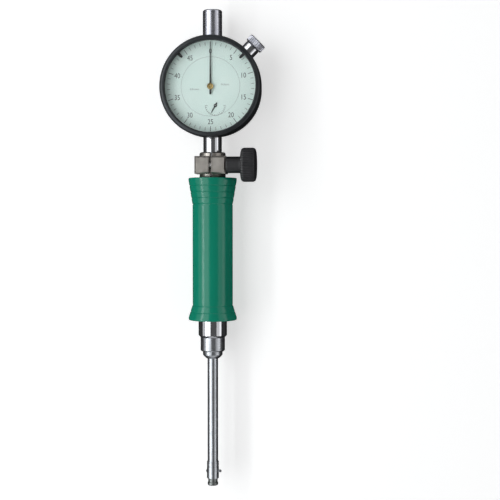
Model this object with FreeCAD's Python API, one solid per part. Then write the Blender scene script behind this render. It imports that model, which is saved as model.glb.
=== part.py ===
import FreeCAD, Part
import math
import os

# Small-bore dial gauge lying on its back, dial face up.
# X runs across the dial, Y along the gauge towards the dial end, Z up from the bench.
# The origin is the centre of the dial case's flat back, so the dial axis is the line x = 0, y = 0.
# Every length is in millimetres and every angle in degrees.

VEC = FreeCAD.Vector

# ---- clearances ----
running_gap = 0.05        # radial play of what turns or slides in a bore
seat_gap = 0.02           # play of what is screwed, pressed or clamped in place
face_gap = 0.05           # play between faces that turn or slide past each other
wheel_backlash = 0.04     # play on the pitch line of the wheels and the rack

# ---- shared by many pieces ----
edge_break = 0.3          # bevel on turned edges
fine_break = 0.2          # bevel on small or thin edges
past = 1.0                # cutting tools run this far past a face
pressure_angle = 20.0
tooth_tip = 0.8           # height of a tooth above its pitch line, in modules
tooth_root = 1.2          # depth below it, in modules

# ---- handle: plastic grip on a steel core ----
grip_length = 61.6
grip_radius = 8.71        # waist between the two flares
grip_flare_radius = 10.45 # the two flares carry the handle on the bench
top_flare_length = 11.6
bottom_flare_length = 6.7
top_flare_steps = 4
bottom_flare_steps = 2
flare_rim = 1.1           # straight rim at the outer end of a flare
groove_width = 0.55
groove_depth = 0.28
flare_bevel = 0.35
core_radius = 6.3
core_bore_radius = 5.2
core_inset = 0.6          # the core ends this far inside the grip's ends

# ---- neck between handle and measuring tube ----
neck_radius = 6.175
neck_length = 7.6
neck_chamfer = 1.0
nut_radius = 5.285
nut_length = 6.0
nut_bevel = 0.45
socket_radius = 4.27
socket_length = 3.05
socket_thread_radius = 3.2
socket_wall = 0.5         # at the socket's lower edge
socket_shoulder = 0.86    # radius of the socket's cone, as a share of its full radius
socket_shank_length = 11.0
spigot_length = 6.0       # how far the neck reaches up into the core

# ---- measuring tube and head ----
tube_radius = 2.3
tube_bore_radius = 1.25
tube_length = 45.2        # the part that shows
tube_spigot_radius = 1.85
tube_spigot_length = 2.6
tube_in_handle = 6.0      # the tube reaches this far past the grip's lower end
head_radius = 2.6
head_length = 7.43
head_groove_depth = 0.22
head_groove_width = 0.4
head_groove_drops = (1.9, 0.35)   # upper edge of each groove below the head's top
head_bevel = 0.15
end_cap_radius = 2.3
end_cap_bevel = 0.35
end_cap_length = 3.03
end_cap_waist = 0.25
end_cap_plug_radius = 1.4
end_cap_plug_length = 1.2

# ---- measuring contact, anvil and push rod ----
contact_height = 3.17     # contact axis above the head's lower end
contact_body_radius = 0.9
contact_nose_radius = 0.6
contact_reach = 3.79      # tip of the contact from the gauge axis
contact_shoulder = 1.85   # the shoulder that stops the contact
contact_travel = 1.0
wedge_offset = 0.4        # where the 45 degree face meets the contact's axis
anvil_reach = 2.95
anvil_room = 0.25         # left between the anvil and the pushed-in contact
nose_taper = 0.6          # end of a measuring nose, as a share of its radius
carbide_length = 0.35     # carbide button brazed to the contact's nose
rod_radius = 1.0
rod_button_radius = 2.0
rod_button_length = 1.6
rod_collar_radius = 2.9
rod_collar_above = 5.0    # collar above the top of the tube
rod_collar_length = 1.4
rod_spring_wire = 0.5
rod_spring_radius = 2.35
rod_spring_turns = 7
rod_spring_length = 21.0
spring_seat_length = 2.0

# ---- clamp that holds the indicator's stem ----
collar_radius = 5.65
collar_length = 11.0
collar_bevel = 0.5
lug_width = 13.4
lug_height = 7.5
lug_front = 9.8           # front of the lugs from the gauge axis
lug_centre_above_grip = 5.3
lug_bevel = 0.7
clamp_slot = 1.15
clamp_screw_radius = 1.5
clamp_screw_front = 7.5   # screw axis in front of the gauge axis
knob_hub_radius = 3.55
knob_hub_length = 6.4
knob_radius = 7.28
knob_width = 6.45
knob_ribs = 36
knob_rib_depth = 0.28
knob_round = 1.2
knob_hub_bevel = 0.5
clamp_screw_inset = 0.4   # the screw's free end stops inside the far lug

# ---- indicator case ----
case_radius = 20.6
case_wall = 1.7
case_neck_step = 0.85     # the neck that the bezel turns on is this much smaller
web_above_spindle = 0.35  # the plate that carries the movement clears the spindle by this much
web_thickness = 1.0
back_thickness = 1.8
back_chamfer = 0.6
gasket_thickness = 0.3
gasket_width = 0.8
gasket_inset = 0.3
back_screw_angle = 30.0
back_screw_inset = 2.0    # screw centres from the case's inner wall
back_screw_radius = 0.7
back_screw_head_radius = 1.3
back_screw_head_height = 0.8
back_screw_length = 5.0
tapped_depth = 3.0        # tapped part of each screw boss
back_recess = 0.1         # screw heads below the flat back
screw_boss_radius = 1.8
stem_radius = 4.0
stem_below_bezel = 5.95   # polished stem that shows between bezel and collar
stem_in_collar = 10.6
stem_bore_radius = 2.75
stem_bevel = 0.4
stem_tenon_radius = 3.3   # the stem is turned down where it enters the case wall
spindle_bush_radius = 2.75
spindle_bush_length = 6.0
cap_radius = 4.175
cap_length = 12.85        # top of the cap beyond the case wall
cap_bevel = 0.45
cap_roof = 1.6
upper_boss_radius = 3.9
upper_boss_height = 0.5
upper_bush_inside = 1.0
upper_bush_outside = 1.5

# ---- bezel and what turns with it ----
bezel_overhang = 1.15     # the bezel stands this far out over the case wall
bezel_behind_cap = 0.375  # the bezel's rear edge in front of the cap
bezel_behind_case = 0.1   # gap between the case's front and the bezel
bezel_round = 1.3
bezel_lip = 2.25          # width of the front ring
bezel_lip_thickness = 0.5
crystal_thickness = 1.0
crystal_above_dial = 2.4  # room for the hands and the limit hands
retainer_height = 1.1
retainer_width = 0.3
snap_wire_size = 0.4
snap_wire_share = 0.6     # share of the wire that lies in each groove
snap_wire_height = 0.9    # above the bezel's lower edge
limit_ring_width = 0.27
limit_ring_thickness = 0.2
limit_ring_height = 0.75   # first ring above the dial's face
limit_ring_step = 0.35     # second ring above the first
limit_ring_gap = 30.0
limit_tongue_reach = 2.4
limit_tongue_width = 1.3
limit_tongue_taper = 0.6
limit_hand_angles = {"limit_hand_left": 134.3, "limit_hand_right": 43.0}

# ---- dial and hands ----
dial_above_bridge = 0.4   # room for the bridge's screw heads
dial_above_neck = 0.1     # the dial turns just above the case's neck
dial_thickness = 0.4
dial_ring_width = 6.9     # printed ring that turns with the bezel, inside its opening
dial_hole_play = 0.25     # the dial stands clear of the arbors
dial_foot_radius = 0.5
dial_foot_reach = 6.0
dial_foot_angle = 15.0
pointer_short = 0.7       # the pointer ends this far inside the bezel's opening
pointer_tail = 3.4
pointer_root_width = 0.75
pointer_tip_width = 0.22
pointer_thickness = 0.15
pointer_hub_radius = 1.35
pointer_hub_height = 0.75
counter_reach = 4.2
counter_tail = 1.3
counter_width = 0.55
counter_tip_width = 0.16
counter_boss_radius = 0.62
counter_rest_angle = 240.0   # one millimetre of preload on the three millimetre scale
hand_gap = 0.12

# ---- spindle and movement ----
spindle_radius = 2.0
spindle_above_case = 4.2
spindle_in_handle = 2.0   # the spindle reaches this far into the grip
contact_point_length = 3.4
contact_ball_radius = 1.2
contact_neck_length = 0.6
counter_x = 2.1
counter_y = -8.1
rack_pitch = 0.5
rack_pinion_teeth = 12
rack_face = 2.0
rack_below = 2.6          # rack below and above the pinion at rest
rack_above = 1.6
wheel_teeth = 96
centre_pinion_teeth = 8
wheel_thickness = 0.5
wheel_above_web = 0.5
pinion_overhang = 0.25    # the pinions are this much wider than the wheels, each side
arbor_radius = 0.45
pivot_radius = 0.3
bush_radius = 0.9
bridge_radius = 11.0
bridge_thickness = 0.7
bridge_gap = 2.2          # room for the wheels between web and bridge
pillar_radius = 1.0
pillar_circle_radius = 9.3        # bridge pillars from the dial axis
pillar_turns = (-90, 72, 108)     # pillars round the dial axis, from the drive arbor's side
bridge_screw_radius = 0.95
screw_shank_radius = 0.5
bridge_screw_height = 0.3
bridge_screw_end = 0.3    # the screws stop this far above the web
rear_bridge_drop = 0.9    # rear bridge under the spindle
rear_bridge_thickness = 0.9
rear_pillar_x = -6.4
rear_pillar_spread = 2.6
rear_bridge_rim = 1.6     # plate left round the pillars
rear_bridge_rim_inner = 1.4
hairspring_turns = 4
hairspring_inner_radius = 1.2
hairspring_pitch = 0.55
hairspring_strip = 0.1
hairspring_height = 0.3
hairspring_lift = 0.2     # hairspring above its wheel
stud_width = 1.0
stud_overlap = 0.1        # the stud reaches this far below the strip
guide_pin_radius = 0.45
guide_pin_y = -2.0
guide_pin_reach = 6.0
guide_rail_wall = 0.8
guide_rail_length = 8.0
return_spring_radius = 0.8
return_spring_tail = 0.18
return_spring_x = 3.35
spring_post_radius = 0.55
spring_post_inset = 4.3   # post from the case's inner wall
spring_post_reach = 1.0   # the post ends this far below the gauge axis
return_spring_hook = 1.2  # straight wire at each end of the coil

# ---- bezel clamp at the upper right of the case ----
clamp_angle = 45.3
clamp_bush_radius = 3.4
clamp_bush_length = 4.4   # the bush beyond the case wall
clamp_tenon_radius = 2.2
clamp_head_radius = 4.1
clamp_head_height = 3.2
clamp_head_ribs = 28
clamp_head_rib_depth = 0.22
clamp_head_bevel = 0.5
clamp_shank_radius = 1.2
clamp_cone_length = 0.4
brake_pin_radius = 0.5

# ---- worked-out places ----
axis_z = grip_flare_radius
case_inner_radius = case_radius - case_wall
case_neck_radius = case_radius - case_neck_step
bezel_radius = case_radius + bezel_overhang
bezel_opening = bezel_radius - bezel_lip
dial_split_radius = bezel_opening - dial_ring_width
pointer_reach = bezel_opening - pointer_short
back_screw_circle = case_inner_radius - back_screw_inset
cap_height = case_radius + cap_length
spindle_top = case_radius + spindle_above_case
clamp_bush_reach = case_radius + clamp_bush_length
bezel_base = axis_z + cap_radius + bezel_behind_cap
case_front = bezel_base - bezel_behind_case
web_height = axis_z + spindle_radius + web_above_spindle
web_top = web_height + web_thickness
bridge_base = web_top + bridge_gap
bridge_top = bridge_base + bridge_thickness
dial_base = bridge_top + dial_above_bridge
dial_height = dial_base + dial_thickness
bezel_top = dial_height + crystal_above_dial + crystal_thickness + bezel_lip_thickness
spring_post_y = -(case_inner_radius - spring_post_inset)
collar_top = -(bezel_radius + stem_below_bezel)
grip_top = collar_top - collar_length
grip_bottom = grip_top - grip_length
neck_bottom = grip_bottom - neck_length
nut_bottom = neck_bottom - nut_length
socket_bottom = nut_bottom - socket_length
head_top = socket_bottom - tube_length
head_bottom = head_top - head_length
tip_end = head_bottom - end_cap_length
contact_y = head_bottom + contact_height
lug_y = grip_top + lug_centre_above_grip
brake_pin_circle = case_radius + brake_pin_radius + face_gap
wheel_base = web_top + wheel_above_web
spindle_bottom = grip_top - spindle_in_handle
rod_top = spindle_bottom - contact_point_length - face_gap
rack_module = rack_pitch / math.pi
rack_pinion_radius = rack_module * rack_pinion_teeth / 2
drive_x = -counter_x
drive_y = -counter_y
centre_distance = math.hypot(counter_x, counter_y)
tube_inner_end = grip_bottom + tube_in_handle
rod_collar_y = tube_inner_end + rod_collar_above
rod_collar_top = rod_collar_y + rod_collar_length
wheel_module = 2 * centre_distance / (wheel_teeth + centre_pinion_teeth)


# ---- helpers ----
def turned(outline, origin, direction, side):
    """Revolve an outline of (station along the axis, radius) pairs about an axis."""
    along = VEC(*direction)
    out = VEC(*side)
    base = VEC(*origin)
    corners = [base + along * station + out * radius for station, radius in outline]
    face = Part.Face(Part.makePolygon(corners + corners[:1]))
    return face.revolve(base, along, 360)


def turned_y(outline):
    """A turned piece on the gauge axis; stations are places along Y."""
    return turned(outline, (0, 0, axis_z), (0, 1, 0), (0, 0, 1))


def turned_z(outline, x=0.0, y=0.0):
    """A turned piece that stands on the bench plane; stations are heights."""
    return turned(outline, (x, y, 0), (0, 0, 1), (1, 0, 0))


def rod(start, end, radius):
    """A plain round bar between two points."""
    span = VEC(*end) - VEC(*start)
    return Part.makeCylinder(radius, span.Length, VEC(*start), span)


def upright(x, y, low, high, radius):
    """A round bar parallel to the dial axis."""
    return rod((x, y, low), (x, y, high), radius)


def block(low, high):
    """A box between two opposite corners."""
    size = VEC(*high) - VEC(*low)
    return Part.makeBox(size.x, size.y, size.z, VEC(*low))


def prism(points, height, z, x=0.0, y=0.0, turn=0.0):
    """Extrude a closed flat outline upwards from z, turned about its own origin."""
    corners = [VEC(px, py, 0) for px, py in points]
    solid = Part.Face(Part.makePolygon(corners + corners[:1])).extrude(VEC(0, 0, height))
    solid.rotate(VEC(0, 0, 0), VEC(0, 0, 1), turn)
    solid.translate(VEC(x, y, z))
    return solid


def polar(radius, angle):
    """A point of the dial plane at an angle from +X."""
    return radius * math.cos(math.radians(angle)), radius * math.sin(math.radians(angle))


def tooth_half_angle(teeth, module, radius, play):
    """Half the angle that an involute tooth takes at a radius, thinned by the play."""
    pitch = module * teeth / 2
    base = pitch * math.cos(math.radians(pressure_angle))

    def involute(at):
        slope = math.acos(min(1.0, base / at))
        return math.tan(slope) - slope

    half = (math.pi * module / 2 - play) / (2 * pitch)
    return half + involute(pitch) - involute(max(radius, base))


def gear_outline(teeth, module, play, stations):
    """Outline of a spur gear; stations are distances from the pitch circle in modules."""
    pitch = module * teeth / 2
    points = []
    for tooth in range(teeth):
        middle = 2 * math.pi * tooth / teeth
        flank = []
        for station in stations:
            radius = pitch + station * module
            flank.append((radius, tooth_half_angle(teeth, module, radius, play)))
        points += [(r * math.cos(middle - a), r * math.sin(middle - a)) for r, a in flank]
        points += [(r * math.cos(middle + a), r * math.sin(middle + a)) for r, a in flank[::-1]]
    return points


def ribbed_disc(ribs, radius, depth):
    """Zigzag outline of a ribbed rim."""
    points = []
    for step in range(2 * ribs):
        r = radius if step % 2 == 0 else radius - depth
        points.append(polar(r, 180.0 * step / ribs))
    return points


def coil(radius, wire, length, turns):
    """A compression spring of square wire standing on the origin along +Z."""
    pitch = (length - wire) / turns
    path = Part.makeHelix(pitch, pitch * turns, radius)
    half = wire / 2
    corners = [(-half, -half), (half, -half), (half, half), (-half, half)]
    section = [VEC(radius + dx, 0, dz) for dx, dz in corners]
    wire_loop = Part.Wire(Part.makePolygon(section + section[:1]))
    sweep = Part.Wire(path).makePipeShell([wire_loop], True, True)
    sweep.translate(VEC(0, 0, half))
    return sweep


def along_gauge(solid, y):
    """Lay a solid that was made along +Z at the origin onto the gauge axis."""
    solid.rotate(VEC(0, 0, 0), VEC(1, 0, 0), -90)
    solid.translate(VEC(0, y, axis_z))
    return solid


nodes = {}


# ---- measuring head ----
def cross(outline, direction):
    """A turned piece on the contact's axis, which crosses the gauge axis in the head."""
    return turned(outline, (0, contact_y, axis_z), direction, (0, 1, 0))


def make_head():
    """Turned head on the end of the tube, bored along for the rod and across for the contact."""
    outline = [(head_bottom, end_cap_plug_radius + seat_gap), (head_bottom, head_radius - head_bevel),
               (head_bottom + head_bevel, head_radius)]
    floor = head_radius - head_groove_depth
    for drop in head_groove_drops:
        high = head_top - drop
        low = high - head_groove_width
        outline += [(low, head_radius), (low, floor), (high, floor), (high, head_radius)]
    socket = tube_spigot_radius + seat_gap
    socket_floor = head_top - tube_spigot_length - seat_gap
    bore = rod_radius + running_gap
    plug_end = head_bottom + end_cap_plug_length + seat_gap
    outline += [(head_top, head_radius), (head_top, socket), (socket_floor, socket), (socket_floor, bore),
                (plug_end, bore), (plug_end, end_cap_plug_radius + seat_gap)]
    head = turned_y(outline)
    wide_end = contact_shoulder + face_gap
    wide = cross([(-head_radius - past, 0), (-head_radius - past, contact_body_radius + running_gap),
                  (wide_end, contact_body_radius + running_gap), (wide_end, 0)], (1, 0, 0))
    nose = cross([(0, 0), (0, contact_nose_radius + running_gap),
                  (head_radius + past, contact_nose_radius + running_gap),
                  (head_radius + past, 0)], (1, 0, 0))
    nodes["head_body"] = head.cut(wide).cut(nose)


def make_end_cap():
    """Waisted plug that closes the head's lower end."""
    top = head_bottom - face_gap
    waist = end_cap_radius - end_cap_waist
    plug_top = head_bottom + end_cap_plug_length
    nodes["end_cap"] = turned_y([
        (tip_end, 0), (tip_end, end_cap_radius - end_cap_bevel), (tip_end + end_cap_bevel, end_cap_radius),
        (tip_end + 0.4 * end_cap_length, end_cap_radius), (tip_end + 0.5 * end_cap_length, waist),
        (top, waist), (top, end_cap_plug_radius), (plug_top, end_cap_plug_radius), (plug_top, 0)])


def make_anvil():
    """Fixed anvil screwed into the head opposite the contact."""
    inner = contact_body_radius - wedge_offset + contact_travel + anvil_room
    nodes["anvil"] = cross([
        (inner, 0), (inner, contact_body_radius), (head_radius, contact_body_radius),
        (head_radius + seat_gap, contact_nose_radius), (anvil_reach - fine_break, contact_nose_radius),
        (anvil_reach, nose_taper * contact_nose_radius), (anvil_reach, 0)], (-1, 0, 0))


def wedge_half(solid, side):
    """Keep what lies on one side (+1 rod, -1 contact) of the 45 degree face that rod and contact share."""
    size = rod_top - tip_end
    near = face_gap / 2
    low = near if side > 0 else -size - near
    keeper = block((-size, low, -size), (size, low + size, size))
    keeper.rotate(VEC(0, 0, 0), VEC(0, 0, 1), 45)
    keeper.translate(VEC(wedge_offset, contact_y, axis_z))
    return solid.common(keeper)


def make_contact():
    """Sliding contact: a shouldered pin with a 45 degree inner face and a carbide button."""
    nose_end = contact_reach - carbide_length
    inner = -contact_body_radius - wedge_offset
    pin = cross([
        (inner, 0), (inner, contact_body_radius), (contact_shoulder, contact_body_radius),
        (contact_shoulder, contact_nose_radius), (nose_end, contact_nose_radius), (nose_end, 0)], (1, 0, 0))
    nodes["contact_pin"] = wedge_half(pin, -1)
    nodes["contact_tip"] = cross([
        (nose_end, 0), (nose_end, contact_nose_radius),
        (nose_end + 0.4 * carbide_length, contact_nose_radius),
        (nose_end + 0.8 * carbide_length, nose_taper * contact_nose_radius), (contact_reach, 0)], (1, 0, 0))


# ---- tube and push rod ----
def make_tube():
    """Measuring tube; its lower end is turned down into the head, its upper end runs into the handle."""
    spigot_end = head_top - tube_spigot_length
    nodes["guide_tube"] = turned_y([
        (spigot_end, tube_bore_radius), (spigot_end, tube_spigot_radius), (head_top, tube_spigot_radius),
        (head_top, tube_radius), (tube_inner_end, tube_radius), (tube_inner_end, tube_bore_radius)])


def make_push_rod():
    """Long rod that carries the contact's motion up to the indicator."""
    low = contact_y - 2 * rod_radius - wedge_offset
    button_low = rod_top - rod_button_length
    rod_bar = turned_y([
        (low, 0), (low, rod_radius), (button_low, rod_radius), (button_low, rod_button_radius),
        (rod_top, rod_button_radius), (rod_top, 0)])
    nodes["push_rod"] = wedge_half(rod_bar, 1)
    nodes["rod_collar"] = turned_y([
        (rod_collar_y, rod_radius), (rod_collar_y, rod_collar_radius),
        (rod_collar_top, rod_collar_radius), (rod_collar_top, rod_radius)])
    spring = coil(rod_spring_radius, rod_spring_wire, rod_spring_length, rod_spring_turns)
    nodes["rod_spring"] = along_gauge(spring, rod_collar_top + face_gap)
    seat_low = rod_collar_top + rod_spring_length + 2 * face_gap
    nodes["spring_seat"] = turned_y([
        (seat_low, rod_radius + running_gap), (seat_low, core_bore_radius - seat_gap),
        (seat_low + spring_seat_length, core_bore_radius - seat_gap),
        (seat_low + spring_seat_length, rod_radius + running_gap)])


# ---- neck ----
def make_neck():
    """Polished neck collar, round lock nut and the tube's socket, stacked below the handle."""
    spigot_radius = core_bore_radius - seat_gap
    thread = socket_thread_radius + seat_gap
    nodes["neck_collar"] = turned_y([
        (neck_bottom, thread), (neck_bottom, neck_radius - neck_chamfer),
        (neck_bottom + neck_chamfer, neck_radius), (grip_bottom + core_inset, neck_radius),
        (grip_bottom + core_inset, spigot_radius), (grip_bottom + spigot_length, spigot_radius),
        (grip_bottom + spigot_length, thread)])
    nodes["lock_nut"] = turned_y([
        (nut_bottom, thread), (nut_bottom, nut_radius - nut_bevel), (nut_bottom + nut_bevel, nut_radius),
        (neck_bottom - seat_gap, nut_radius), (neck_bottom - seat_gap, thread)])
    inner = tube_radius + seat_gap
    flange_top = nut_bottom - seat_gap
    nodes["tube_socket"] = turned_y([
        (socket_bottom, inner), (socket_bottom, inner + socket_wall),
        (socket_bottom + 0.25 * socket_length, socket_shoulder * socket_radius),
        (socket_bottom + 0.5 * socket_length, socket_radius), (flange_top, socket_radius),
        (flange_top, socket_thread_radius), (flange_top + socket_shank_length, socket_thread_radius),
        (flange_top + socket_shank_length, inner)])


# ---- handle ----
def flare(rim_y, inward, length, steps):
    """Stepped flare from its rim towards the waist: coned bands parted by shallow grooves."""
    points = [(rim_y, grip_flare_radius - flare_bevel), (rim_y + fine_break * inward, grip_flare_radius)]
    start = flare_rim
    band = (length - start) / steps
    fall = (grip_flare_radius - grip_radius) / steps
    for step in range(steps):
        near = rim_y + inward * (start + step * band)
        far = rim_y + inward * (start + (step + 1) * band - groove_width)
        outer = grip_flare_radius - step * fall
        inner = outer - 0.8 * fall
        end = rim_y + inward * (start + (step + 1) * band)
        points += [(near, outer), (far, inner), (0.5 * (far + end), inner - groove_depth)]
    return points + [(rim_y + inward * (length + fine_break), grip_radius)]


def make_grip():
    """Glossy plastic grip moulded over a steel core; both ends flare in stepped rings."""
    lower = flare(grip_bottom, 1, bottom_flare_length, bottom_flare_steps)
    upper = flare(grip_top, -1, top_flare_length, top_flare_steps)
    bore = core_radius + seat_gap
    nodes["grip"] = turned_y([(grip_bottom, bore)] + lower + upper[::-1] + [(grip_top, bore)])
    nodes["grip_core"] = turned_y([
        (grip_bottom + core_inset, core_bore_radius), (grip_bottom + core_inset, core_radius),
        (grip_top - core_inset, core_radius), (grip_top - core_inset, core_bore_radius)])


# ---- stem clamp ----
def make_clamp():
    """Split collar with two square lugs, drawn together by a screw with a moulded knob."""
    spigot_end = grip_top - core_inset
    bore = stem_radius + seat_gap
    collar = turned_y([
        (spigot_end - spigot_length, bore), (spigot_end - spigot_length, core_bore_radius - seat_gap),
        (spigot_end, core_bore_radius - seat_gap), (spigot_end, collar_radius - collar_bevel),
        (grip_top + fine_break, collar_radius), (collar_top - collar_bevel, collar_radius),
        (collar_top, collar_radius - collar_bevel), (collar_top, bore)])
    low, high = lug_y - lug_height / 2, lug_y + lug_height / 2
    half = lug_width / 2
    front = axis_z + lug_front
    lugs = block((-half, low, axis_z), (half, high, front))
    lugs = lugs.makeChamfer(lug_bevel, [e for e in lugs.Edges if e.CenterOfMass.z > front - lug_bevel])
    lugs = lugs.cut(rod((0, low - past, axis_z), (0, high + past, axis_z), stem_radius + collar_bevel))
    collar = collar.fuse(lugs)
    slot = block((-clamp_slot / 2, grip_top + edge_break, axis_z),
                 (clamp_slot / 2, collar_top + past, front + past))
    screw_z = axis_z + clamp_screw_front
    bore = clamp_screw_radius + running_gap
    hole = rod((-half - past, lug_y, screw_z), (half + past, lug_y, screw_z), bore)
    nodes["clamp_collar"] = collar.cut(slot).cut(hole).removeSplitter()

    face = half + face_gap
    hub_end = half + knob_hub_length
    rim = hub_end + knob_width
    insert = clamp_screw_radius + seat_gap
    knob = turned([
        (face, insert), (face, knob_hub_radius - knob_hub_bevel), (face + knob_hub_bevel, knob_hub_radius),
        (hub_end, knob_hub_radius),
        (hub_end, knob_radius - knob_round), (hub_end + 0.35 * knob_round, knob_radius - 0.3 * knob_round),
        (hub_end + knob_round, knob_radius), (rim - knob_round, knob_radius),
        (rim - 0.35 * knob_round, knob_radius - 0.3 * knob_round), (rim, knob_radius - knob_round),
        (rim, 0), (hub_end, 0), (hub_end, insert)],
        (0, lug_y, screw_z), (1, 0, 0), (0, 1, 0))
    ribs = prism(ribbed_disc(knob_ribs, knob_radius, knob_rib_depth), rim - half + 2 * past, half - past)
    ribs.rotate(VEC(0, 0, 0), VEC(0, 1, 0), 90)
    ribs.translate(VEC(0, lug_y, screw_z))
    nodes["clamp_knob"] = knob.common(ribs)
    nodes["clamp_screw"] = rod(
        (-half + clamp_screw_inset, lug_y, screw_z), (hub_end - seat_gap, lug_y, screw_z),
        clamp_screw_radius)


# ---- indicator case ----
def clamp_axis(solid):
    """Turn a solid made along +X in the gauge's plane to the bezel clamp's direction."""
    solid.rotate(VEC(0, 0, 0), VEC(0, 0, 1), clamp_angle)
    return solid


def clamp_turned(outline):
    """A turned piece on the bezel clamp's axis; stations are distances from the dial axis."""
    return clamp_axis(turned(outline, (0, 0, axis_z), (1, 0, 0), (0, 0, 1)))


def screw_places():
    """Centres of the back screws, in pairs beside the gauge axis."""
    x, y = polar(back_screw_circle, back_screw_angle)
    return [(x, y), (-x, y), (-x, -y), (x, -y)]


def make_case():
    """Cast case: a ring with a plate across it for the movement and a neck for the bezel."""
    base = back_thickness + gasket_thickness
    inner = case_inner_radius
    neck_top = dial_base - dial_above_neck
    neck_inner = case_neck_radius - case_wall
    groove_low = bezel_base + snap_wire_height - face_gap
    groove_high = groove_low + snap_wire_size + 2 * face_gap
    groove_floor = case_neck_radius - snap_wire_share * snap_wire_size
    case = turned_z([
        (base, inner), (base, case_radius), (case_front, case_radius), (case_front, case_neck_radius),
        (groove_low, case_neck_radius), (groove_low, groove_floor), (groove_high, groove_floor),
        (groove_high, case_neck_radius), (neck_top, case_neck_radius), (neck_top, neck_inner),
        (web_top, neck_inner), (web_top, 0), (web_height, 0), (web_height, inner)])
    boss_top = case_radius + upper_boss_height
    boss = rod((0, inner + case_wall / 2, axis_z), (0, boss_top, axis_z), upper_boss_radius)
    case = case.fuse(boss)
    for x, y in screw_places():
        case = case.fuse(upright(x, y, base, web_height, screw_boss_radius))
    for x, y in screw_places():
        case = case.cut(upright(x, y, base, back_screw_length + tapped_depth, back_screw_radius + seat_gap))
    inside = inner - case_wall
    outside = boss_top + past
    case = case.cut(rod((0, inside, axis_z), (0, outside, axis_z), spindle_bush_radius + seat_gap))
    case = case.cut(rod((0, -outside, axis_z), (0, -inside, axis_z), stem_tenon_radius + seat_gap))
    tenon = clamp_tenon_radius + seat_gap
    case = case.cut(clamp_turned([(inside, 0), (inside, tenon), (outside, tenon), (outside, 0)]))
    for x, y in ((0.0, 0.0), (counter_x, counter_y)):
        case = case.cut(upright(x, y, web_height - past, web_top + past, bush_radius + seat_gap))
    hole = arbor_radius + dial_hole_play
    case = case.cut(upright(drive_x, drive_y, web_height - past, web_top + past, hole))
    nodes["case"] = case.removeSplitter()


def make_back():
    """Flat back cover on a thin gasket, held by four screws; the gauge lies on it."""
    low, high = back_thickness, back_thickness + gasket_thickness
    cover = turned_z([
        (0, 0), (0, case_radius - back_chamfer), (back_chamfer, case_radius), (low, case_radius), (low, 0)])
    screws = []
    for x, y in screw_places():
        head = upright(x, y, -past, back_screw_head_height, back_screw_head_radius + seat_gap)
        cover = cover.cut(head).cut(upright(x, y, 0, low + past, back_screw_radius + seat_gap))
        screws.append(turned_z([
            (back_recess, 0), (back_recess, back_screw_head_radius),
            (back_screw_head_height, back_screw_head_radius), (back_screw_head_height, back_screw_radius),
            (back_screw_length, back_screw_radius),
            (back_screw_length, 0)], x, y))
    nodes["back_cover"] = cover
    nodes["back_screws"] = Part.makeCompound(screws)
    outer = case_radius - gasket_inset
    nodes["back_gasket"] = turned_z([
        (low, outer - gasket_width), (low, outer), (high, outer), (high, outer - gasket_width)])


def make_stem():
    """Ground stem below the case, closed spindle cap above it, and a bush for the spindle in each."""
    shoulder = -math.sqrt(case_radius ** 2 - stem_radius ** 2)
    tenon_end = -case_inner_radius
    low = collar_top - stem_in_collar
    stem = turned_y([
        (low, stem_bore_radius), (low, stem_radius - stem_bevel), (low + stem_bevel, stem_radius),
        (tenon_end - stem_bevel, stem_radius), (tenon_end - stem_bevel, stem_tenon_radius),
        (tenon_end, stem_tenon_radius), (tenon_end, stem_bore_radius)])
    nodes["stem"] = stem.cut(upright(0, 0, 0, case_front, case_radius + seat_gap))
    tenon = turned_y([
        (shoulder - past, stem_bore_radius), (shoulder - past, stem_tenon_radius),
        (tenon_end, stem_tenon_radius), (tenon_end, stem_bore_radius)])
    nodes["stem"] = nodes["stem"].fuse(tenon).removeSplitter()
    bush_bore = spindle_radius + running_gap
    bush = stem_bore_radius - seat_gap
    bush_low = low + stem_bevel
    bush_high = bush_low + spindle_bush_length
    nodes["lower_bush"] = turned_y([
        (bush_low, bush_bore), (bush_low, bush), (bush_high, bush), (bush_high, bush_bore)])
    boss_top = case_radius + upper_boss_height
    bush_low = case_inner_radius - upper_bush_inside
    bush_high = boss_top + upper_bush_outside
    nodes["upper_bush"] = turned_y([
        (bush_low, bush_bore), (bush_low, spindle_bush_radius), (bush_high, spindle_bush_radius),
        (bush_high, bush_bore)])
    roof = cap_height - cap_roof
    bore = spindle_bush_radius + seat_gap
    nodes["spindle_cap"] = turned_y([
        (boss_top, bore), (boss_top, cap_radius), (cap_height - cap_bevel, cap_radius),
        (cap_height, cap_radius - cap_bevel), (cap_height, 0), (roof, 0), (roof, bore)])


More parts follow.
